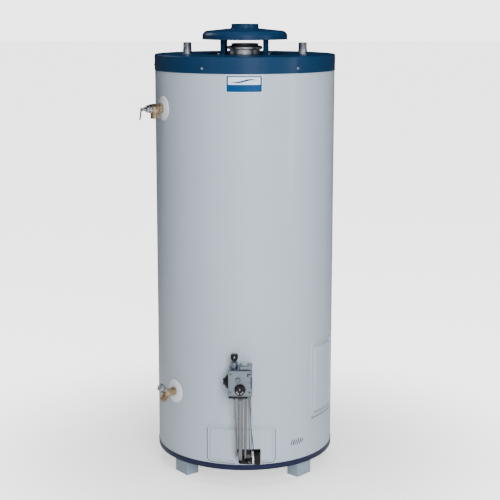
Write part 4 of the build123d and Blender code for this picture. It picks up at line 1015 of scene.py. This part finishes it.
# %%  Relief valve
relief_place = facing(relief_root, relief_axis)
downwards = shift(0, 0, 33) @ Matrix.Rotation(pi / 2, 4, "X")
relief_shank = [(7.8, -38)] + threaded(13.4, 1.0, 1.814, -38, 2) + [(12.6, 4), (12.6, 9), (7.8, 9)]
chamber = [
    (7.8, 19), (15.2, 19), (15.6, 21), (17.6, 22.5), (18, 24), (18, 41), (17.2, 42.5), (16.6, 44),
    (17.6, 45), (17.6, 49.4), (17.0, 50), (13.0, 50), (13.0, 31), (7.8, 30),
]
outlet = [
    (13.5, 4), (14.6, 14), (15.2, 17), (16, 18), (16, 35.2), (15.4, 36), (12.8, 36), (12.2, 35.2),
    (12.2, 14), (0, 12),
]
make_piece(
    "relief_valve_body",
    [
        turned(relief_shank, loop=True), hex_nut(35, 8, 20, 7.8), turned(chamber, loop=True),
        moved(turned(outlet), downwards),
    ],
    "forged_brass",
    relief_place,
    replaced=["relief_body"],
)
relief_bonnet_rows = [
    (11, 50.1), (16.5, 50.1), (16.5, 53.2), (15.9, 54.1), (14, 54.4), (13.6, 55), (14, 55.6),
    (14, 62.5), (13.6, 65), (12.4, 67), (10.4, 68.2), (8.2, 68.8), (7.5, 69.6), (7.5, 71),
    (6.9, 71.4), (6.9, 72.4), (7.5, 72.8), (7.5, 75.5), (7.0, 76), (3.06, 76), (3.06, 66), (11, 66),
]
make_piece(
    "relief_valve_bonnet", [turned(relief_bonnet_rows, loop=True)], "turned_stainless",
    relief_place, replaced=["relief_bonnet"],
)

lever_line = flowing(
    [
        (0, -2, 87.4), (0, -12, 87.9), (0, -24, 89.4), (0, -34, 91.0), (0, -38, 93.0),
        (0, -38.8, 95.6),
    ]
)
lever_rows = []
for i, p in enumerate(lever_line):
    along = (lever_line[min(i + 1, len(lever_line) - 1)] - lever_line[max(i - 1, 0)]).normalized()
    normal = Vector((1, 0, 0)).cross(along)
    half = 5.8 - 1.6 * i / len(lever_line) - (2.2 if i > len(lever_line) - 3 else 0)
    corners = [
        (-half, -0.9), (half, -0.9), (half, -0.1), (half - 0.5, 0.9), (-half + 0.5, 0.9),
        (-half, -0.1),
    ]
    lever_rows.append([(x, p.y + normal.y * n, p.z + normal.z * n) for x, n in corners])
cheeks = []
for side in (-1, 1):
    ear = turned([(1.86, 0), (5, 0), (5, 1.4), (4.6, 2), (1.86, 2)], segments=40, loop=True)
    turn = shift(side * 4.8 - 1.0, 0, relief_pin_height) @ Matrix.Rotation(pi / 2, 4, "Y")
    web = moved(
        slab([(-1.2, -8), (4.9, -8), (4.9, -1), (2.0, -1.2), (-1.2, -3.6)], 0, 2, 0.3),
        shift(side * 4.8 - 1.0, 0, relief_pin_height) @ Matrix(
            ((0, 0, 1, 0), (0, 1, 0, 0), (1, 0, 0, 0), (0, 0, 0, 1))
        ),
    )
    cheeks += [moved(ear, turn), web]
make_piece(
    "relief_test_lever", [loft(lever_rows, ends=True), *cheeks], "turned_stainless", relief_place,
    body="relief_lever", replaced=["relief_lever"],
)

# %% [markdown]
# ## Drain valve
#
# A ball-shaped brass body joins three branches: the shank in the tank, a hose spout that points
# down, and a bonnet for the stem. The handle is a knurled round head with a slot, so that it can
# be turned with a screwdriver.

# %%  Drain valve
drain_radial = Vector((stem_axis.x, stem_axis.y, 0)).normalized()
drain_place = facing(drain_node, drain_radial)


def branch(axis):
    """The way from the body's frame to the frame of one branch, in millimetres."""
    local = drain_place.inverted().to_3x3() @ axis
    return facing((0, 0, 0), local, up=(0, 1, 0))


drain_shank = [(8.8, -68)] + threaded(13.4, 1.0, 1.814, -68, -27) + [
    (12.4, -26), (12.4, -24), (8.8, -24),
]
ball = [
    (8.8, -17), (12.6, -17), (12.2, -14), (12.9, -11.5), (15.0, -6.5), (16, -1), (15.8, 3),
    (14.2, 8), (11.0, 12), (6.0, 14.9), (0, 15.8),
]
spout = [
    (12.6, 7), (11.8, 12), (11.5, 14.5), (11.5, 16),
] + threaded(13.3, 1.5, 2.209, 16.2, 37.2) + [
    (12.0, 37.6), (11.4, 38), (9.2, 38), (8.8, 37.5), (8.8, 14), (0, 12),
]
drain_bonnet_rows = [
    (12.4, 6), (11.4, 10), (11, 13), (11, 20), (11.6, 20.6), (11.6, 21.4), (3.6, 21.4),
]
stem_way = branch(stem_axis).to_3x3() @ Vector((0, 0, 1))
ball_points, ball_faces = turned(ball)


def under_bonnet(face):
    """True for the part of the ball that the bored bonnet covers."""
    centre = sum((Vector(ball_points[i]) for i in face), Vector()) / len(face)
    along = centre.dot(stem_way)
    return along > 0 and (centre - along * stem_way).length < 9.5


ball_faces = [face for face in ball_faces if not under_bonnet(face)]
make_piece(
    "drain_valve_body",
    [
        turned(drain_shank, loop=True),
        hex_nut(31, -25, -16, 8.8),
        (ball_points, ball_faces),
        moved(turned(spout), branch(spout_axis)),
        moved(turned(drain_bonnet_rows), branch(stem_axis)),
    ],
    "forged_brass",
    drain_place,
    replaced=["drain_body"],
)
packing_nut = moved(hex_nut(24, 21.2, 30, 3.6), branch(stem_axis))
make_piece("drain_packing_nut", [packing_nut], "turned_stainless", drain_place)
grip = rippled(15, 0.8, 30)
grip_base = turned(
    [(3.6, 33), (12.5, 33), (13.6, 33.8), (grip, 35), (grip, 41)] + [(14.2, 41), (3.6, 41)],
    segments=180, loop=True,
)
halves = []
reach = 14.4  # radius of the slotted head
start = 1.6 / reach  # half of the slot, as an angle
for side in (-1, 1):
    turns = [(-pi / 2 + start) + (pi - 2 * start) * k / 30 for k in range(31)]
    arc = [(side * reach * cos(t), side * reach * sin(t)) for t in turns]
    halves.append(slab(arc, 40.8, 46, 0.8))
make_piece(
    "drain_slotted_head",
    [moved(part, branch(stem_axis)) for part in (grip_base, *halves)],
    "turned_stainless",
    drain_place,
    body="drain_handle",
    replaced=["drain_handle"],
)

# %% [markdown]
# ## Gas control
#
# The control's body and cover are die castings. Round them sit a moulded dial and knob with
# ribbed grips, a stepped regulator cap, and plated flare nuts. The cover has a raised frame, and
# a ring where a cast boss was left unmachined.

# %%  Gas control
face_middle = middle("control_cover")
face_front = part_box("control_body")[0].y
control_flange_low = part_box("control_flange")[0].z
control_foot = control_flange_low / MM
cover_plane = facing((face_middle.x, face_front, face_middle.z), FORWARD)
frame_outline = rounded_box(79, 90, 4, steps=6)
frame_bead = rod(
    [(x, y, 2.5) for x, y in frame_outline] + [(frame_outline[0][0], frame_outline[0][1], 2.5)],
    1.2, sides=8,
)
ring = moved(
    turned([(6.2, 0), (9.4, 0), (9.0, 2.4), (8.4, 3), (7.2, 3), (6.4, 2.2)], loop=True),
    shift(-7, 12, 4.6),
)
ribs = [plate(1.8, 22, 0.8, 0, 1.5, shift(x, 24, 2.4), 0.4, steps=3) for x in (-25, 11)]
pad = plate(26, 10, 2.5, 0, 1.4, shift(-22, -32, 2.4), 0.5)
lug = plate(10, 26, 3, 0, 2.2, shift(33, -8, 2.4), 0.6)
make_piece(
    "control_cover_ribs", [frame_bead, ring, *ribs, pad, lug], "die_cast_aluminium", cover_plane,
)
slot_plate = plate(4.5, 12, 1.0, 0, 0.6, shift(28, 31, 2.6), steps=3)
# A dark strip 42 mm tall stands along the cover's right edge: painted shade for the gap beside the
# cover there.
right_edge_shadow_strip = plate(2.6, 42, 1.2, 0, 2.0, shift(39.6, 3, 2.4), 0.5, steps=3)
plug = moved(
    turned([(0, 0), (5.0, 0), (5.0, 1.8), (4.2, 2.4), (2.2, 2.4), (2.0, 1.4), (0, 1.4)]),
    shift(-7, 12, 4.4),
)
seal_outline = rounded_box(84.6, 95.6, 3.4, steps=6)
seal = rod([(x, y, -0.6) for x, y in seal_outline + seal_outline[:1]], 0.9, sides=8)
make_piece("control_dark_details", [slot_plate, right_edge_shadow_strip, seal], "painted_iron", cover_plane)
lip_place = upright(middle("control_flange").x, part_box("control_flange")[0].y, control_flange_low)
make_piece(
    "control_flange_lip", [slab(rounded_box(70, 22, 2), 0.1, 8.6, 0.6)], "painted_iron", lip_place,
)
make_piece("control_boss_plug", [plug], "die_cast_aluminium", cover_plane)

dial_joint = joints["temperature_dial_turn"]
dial_place = facing(dial_joint["pos_m"], dial_joint["axis"])
dial_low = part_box("temperature_dial")[0]
dial_face = (Vector(dial_joint["pos_m"]).y - dial_low.y) / MM
dial_radius = half_size("temperature_dial", 0)
fluted = rippled(dial_radius - 1.6, 0.9, 36)
dial_rows = [
    (4.0, -12), (4.0, dial_face - 17), (dial_radius, dial_face - 17),
    (dial_radius, dial_face - 14.6), (dial_radius - 0.6, dial_face - 14),
    (fluted, dial_face - 13.4), (fluted, dial_face - 1.6), (dial_radius - 3.2, dial_face - 0.3),
    (dial_radius - 4.2, dial_face), (dial_radius - 5.4, dial_face),
    (dial_radius - 6.0, dial_face - 0.8), (0, dial_face - 0.8),
]
pointer = slab(rounded_box(5.4, 2 * dial_radius - 13, 2.4), dial_face - 1, dial_face + 2.2, 0.9)
make_piece(
    "temperature_knob", [turned(dial_rows, segments=216), pointer], "black_phenolic", dial_place,
    body="temperature_dial", replaced=["temperature_dial"],
)
marks = []
for i in range(9):
    turn = radians(200 + 17.5 * i)
    long = 4.2 if i % 2 == 0 else 2.6
    place = Matrix.Rotation(turn, 4, "Z") @ shift(dial_radius - 8.6, 0, 0)
    marks.append(plate(long, 1.5, 0.5, dial_face - 0.8, dial_face - 0.6, place, steps=2))
marks.append(plate(0.9, 8, 0.4, dial_face + 2.2, dial_face + 2.35, shift(0, 6, 0), steps=3))
make_piece("temperature_marks", marks, "white_print", dial_place, body="temperature_dial")

knob_joint = joints["gas_cock_turn"]
knob_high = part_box("gas_cock_knob")[1]
knob_place = upright(*knob_joint["pos_m"])
knob_radius = half_size("gas_cock_knob", 0)
knob_top = (knob_high.z - knob_joint["pos_m"][2]) / MM
knob_foot = knob_top - 30
ridged = rippled(knob_radius, 1.2, 18)


def pointed(level, drop):
    """A rim that dips to a point at the front, where the pointer is."""
    return lambda t: level - drop * max(0.0, 1 - abs(t - 1.5 * pi) / 1.25)


skirt = pointed(knob_foot + 15, 14)
knob_rows = [
    (4.0, knob_foot - 30), (4.0, knob_foot + 17), (11.6, knob_foot + 17), (11.6, skirt),
    (knob_radius, skirt),
]
knob_rows += [(ridged, knob_foot + 18), (ridged, knob_top - 4), (knob_radius - 1.6, knob_top - 1.4)]
knob_rows += [
    (knob_radius - 3.6, knob_top), (knob_radius - 5.0, knob_top - 0.5), (0, knob_top - 0.6),
]
make_piece(
    "gas_cock_grip", [turned(knob_rows, segments=216)], "black_phenolic", knob_place,
    body="gas_cock_knob", replaced=["gas_cock_knob"],
)
hub_rows = [
    (4.2, knob_foot + 0.3), (9.4, knob_foot + 0.3), (10, knob_foot + 1), (10, knob_foot + 16.6),
    (4.2, knob_foot + 16.6),
]
make_piece(
    "gas_cock_hub", [turned(hub_rows, loop=True)], "die_cast_aluminium", knob_place,
    body="gas_cock_knob",
)
mark_place = facing((0, -knob_radius + 0.1, knob_top - 9), FORWARD)
knob_mark = plate(1.2, 7, 0.5, 0, 0.25, mark_place, steps=3)
make_piece("gas_cock_mark", [knob_mark], "white_print", knob_place, body="gas_cock_knob")

cap_low, cap_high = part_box("regulator_cap")
cap_place = facing(
    (cap_high.x, (cap_low.y + cap_high.y) / 2, (cap_low.z + cap_high.z) / 2), (-1, 0, 0),
)
cap_radius = half_size("regulator_cap", 2)
ribbed = rippled(cap_radius, 1.0, 32)
neck = rippled(19.0, 0.7, 24)
cap_rows = [
    (0, 0), (cap_radius, 0), (cap_radius, 1), (ribbed, 1.6), (ribbed, 6.6), (cap_radius - 1.4, 8),
    (20, 8.2), (neck, 9), (neck, 12.2), (18, 13), (13.4, 13.2), (hexagonal(23), 13.8),
    (hexagonal(23), 19.2), (11.2, 20), (5, 20), (4.6, 18.6), (0, 18.6),
]
make_piece(
    "regulator_stepped_cap", [turned(cap_rows, segments=192)], "black_phenolic", cap_place,
    replaced=["regulator_cap"],
)

nuts = []
for low, high, group in islands("tube_nuts"):
    centre = (low + high) / 2
    flats = (high.y - low.y) / MM
    top, foot = high.z / MM, low.z / MM
    bore = flats * 0.3
    nut = hex_nut(flats, foot + 4, top, bore)
    ferrule = turned(
        [
            (bore, foot - 2), (bore * 1.12, foot - 2), (flats * 0.42, foot + 1.5),
            (flats * 0.42, foot + 4.2), (bore, foot + 4.2),
        ],
        loop=True,
    )
    nuts += [moved(part, upright(centre.x / MM, centre.y / MM, 0)) for part in (nut, ferrule)]
make_piece("flare_nuts", nuts, "dark_plated_steel", replaced=["tube_nuts"])

# %% [markdown]
# ## Leads
#
# Beside the supply tubes run a jacketed igniter lead and two thin wires, which leave the control
# from below and pass into the burner opening.

# %%  Leads
tube_plane = -385  # the plane in front of the jacket in which the tubes hang
sleeve = flowing(
    [
        (20, tube_plane, control_foot + 8), (20, tube_plane, control_foot - 60),
        (19.5, tube_plane, 250), (18, -384, 170), (17, -372, 132), (17, -345, 120), (17, -322, 118),
    ]
)
make_piece("igniter_sleeve", [rod(sleeve, 4.6, sides=20)], "drawn_aluminium")
wires = []
for top_x, foot_x, depth in ((30.0, 33.0, -381), (37.5, 47.0, -383)):
    path = [
        (top_x, depth, control_foot + 8), (top_x + 0.5, depth, 330), (top_x + 1.5, depth - 2, 250),
        (foot_x, depth, 175), (foot_x + 1, -366, 140), (foot_x + 1, -340, 126),
    ]
    wires.append(rod(flowing(path), 1.3, sides=10))
make_piece("igniter_wires", wires, "gasket_rubber")

# %% [markdown]
# ## Burner opening
#
# The supply tubes pass through the notch in the burner door. Rubber boots seal them where they
# enter the inner door, and a black bracket steadies them. A pushbutton igniter in a moulded
# housing stands beside them, with a ceramic strip and a lead. A small plate fills the notch's
# left side. What stands here on a real heater varies, so these pieces are of a usual kind.

# %%  Burner opening
front = -jacket_radius / MM  # the front of the jacket
boot_face = front + 45
boots = []
for across, level, radius in ((0, 118, 8.0), (-14.5, 138, 3.2), (41, 132, 1.8)):
    rows = [
        (radius, 0), (radius + 9, 0), (radius + 9, 2.5), (radius + 5, 5), (radius + 4, 12),
        (radius + 2.4, 13), (radius + 2, 22), (radius, 22),
    ]
    boots.append(moved(turned(rows, loop=True), facing((across, boot_face, level), FORWARD)))
make_piece("tube_boots", boots, "gasket_rubber")
filler = wrapped(
    sheet(10.5, 41, 2, -1.2, 0.4, columns=8), degrees(-14.6 * MM / jacket_radius),
    base_high + 0.0265,
)
make_piece("notch_filler", [filler], "light_grey_enamel")

base_level = base_high / MM + 4
plate_outline = [
    (-5, 0), (46, 0), (46, 13), (40, 20), (27, 22), (24, 14), (14, 13), (10, 24), (2, 24), (-2, 12),
    (-5, 8),
]
bracket = moved(slab(plate_outline, 0, 2.0, 0.4), facing((0, front - 1, base_level), FORWARD))
bolt = moved(hex_nut(10, 0, 5), facing((31, front - 3, base_level + 8), FORWARD))
make_piece("tube_bracket", [bracket], "painted_iron")
elbow = moved(hex_nut(17, 0, 12), facing((28, front + 12, base_level + 30), FORWARD))
union = moved(hex_nut(13, 0, 9), facing((12, front + 6, base_level + 46), FORWARD))
make_piece("pilot_fittings", [bolt, elbow, union], "dark_plated_steel")
arch = [(50, 0), (71, 0), (71, 38)] + [
    (60.5 + 10.5 * cos(t), 38 + 10.5 * sin(t)) for t in [pi * k / 12 for k in range(1, 12)]
] + [(50, 38)]
igniter = moved(slab(arch, 0, 17, 2.0), facing((0, front + 10, base_level), FORWARD))
button_place = facing((60.5, front - 7, base_level + 36), FORWARD)
button = moved(turned([(0, 0), (6, 0), (6, 4.5), (5, 5.6), (0, 5.8)]), button_place)
collar_rows = [(6.6, 0), (8.6, 0), (8.6, 1.6), (8.0, 2.2), (6.6, 2.2)]
collar = moved(turned(collar_rows, loop=True), button_place)
make_piece("igniter_housing", [igniter, button, collar], "black_phenolic")
insulator = moved(
    slab(rounded_box(6, 46, 2), 0, 4, 1.0), facing((45, front - 1, base_level + 26), FORWARD),
)
make_piece("igniter_insulator", [insulator], "steatite_ceramic")
lead = flowing(
    [
        (41, -330, base_level + 6), (30, -345, base_level + 3), (16, -348, base_level + 10),
        (12, -335, base_level + 24), (4, -318, base_level + 28),
    ]
)
make_piece("igniter_lead", [rod(lead, 1.6)], "gasket_rubber")

# %% [markdown]
# ## Springs
#
# Both springs are wound from drawn wire; on the real heater one end of each is held and the other
# follows the button or the stem. Here each coil is a copy of the CAD spring, set on the heater's
# body in place of the CAD piece.

# %%  Springs
for node, joint_name in (("reset_spring", "reset_press"), ("relief_spring", "relief_stem_lift")):
    way = Vector(joints[joint_name]["axis"]).normalized()
    along = [vertex.co.dot(way) for vertex in nodes[node].data.vertices]
    coil = add_to_scene(f"{node}_coil", nodes[node].data.copy())
    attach(coil, "heater")
    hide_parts(node)
    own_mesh(coil)

# %% [markdown]
# ## Badge and printed mark
#
# The badge is a vinyl label in three printed layers: a white border, a blue field and a pale
# panel with a plain wave. Near the foot is a faint printed mark, kept here to a row of slanted
# strokes with no lettering.

# %%  Badge
badge_middle = middle("badge_plate")
badge_azimuth = azimuth_of(badge_middle)
badge_wide, badge_tall = 129.0, 2 * half_size("badge_plate", 2)
edge_layer = wrapped(sheet(badge_wide, badge_tall, 4, 0.1, 0.8), badge_azimuth, badge_middle.z)
make_piece("badge_border", [edge_layer], "badge_white_vinyl", replaced=["badge_plate"])
field = wrapped(sheet(badge_wide - 4, badge_tall - 4, 3, 0.5, 1.0), badge_azimuth, badge_middle.z)
make_piece("badge_field", [field], "badge_blue_vinyl")
panel = wrapped(
    sheet(badge_wide - 16, badge_tall * 0.44, 2.5, 0.7, 1.2), badge_azimuth,
    badge_middle.z + 0.18 * badge_tall * MM,
)
make_piece("badge_panel", [panel], "badge_white_vinyl")
wave_rows = []
for k in range(41):
    x = -46 + 92 * k / 40
    y = badge_tall * 0.17 + 3.6 * sin(x / 15) + x * 0.05
    thick = 2.8 * sin(pi * k / 40) + 0.3
    wave_rows.append(
        [(x, y - thick, 1.1), (x, y + thick, 1.1), (x, y + thick, 1.4), (x, y - thick, 1.4)]
    )
make_piece(
    "badge_wave", [wrapped(loft(wave_rows, ends=True), badge_azimuth, badge_middle.z)],
    "badge_blue_vinyl",
)

mark_azimuth, mark_height, mark_lean = 37, 0.156, 7.0
stroke_wide, stroke_halves = 4.2, (9, 11, 8, 12, 10, 7)
strokes = []
for k, tall in enumerate(stroke_halves):
    left = -26 + 10 * k
    right = left + stroke_wide
    quad = [(left, -tall), (right, -tall), (right + mark_lean, tall), (left + mark_lean, tall)]
    strokes.append(wrapped(slab(quad, 0.0, 0.25), mark_azimuth, mark_height))
make_piece("printed_strokes", strokes, "printed_ink")
print("badge at", round(badge_azimuth, 2), "degrees")
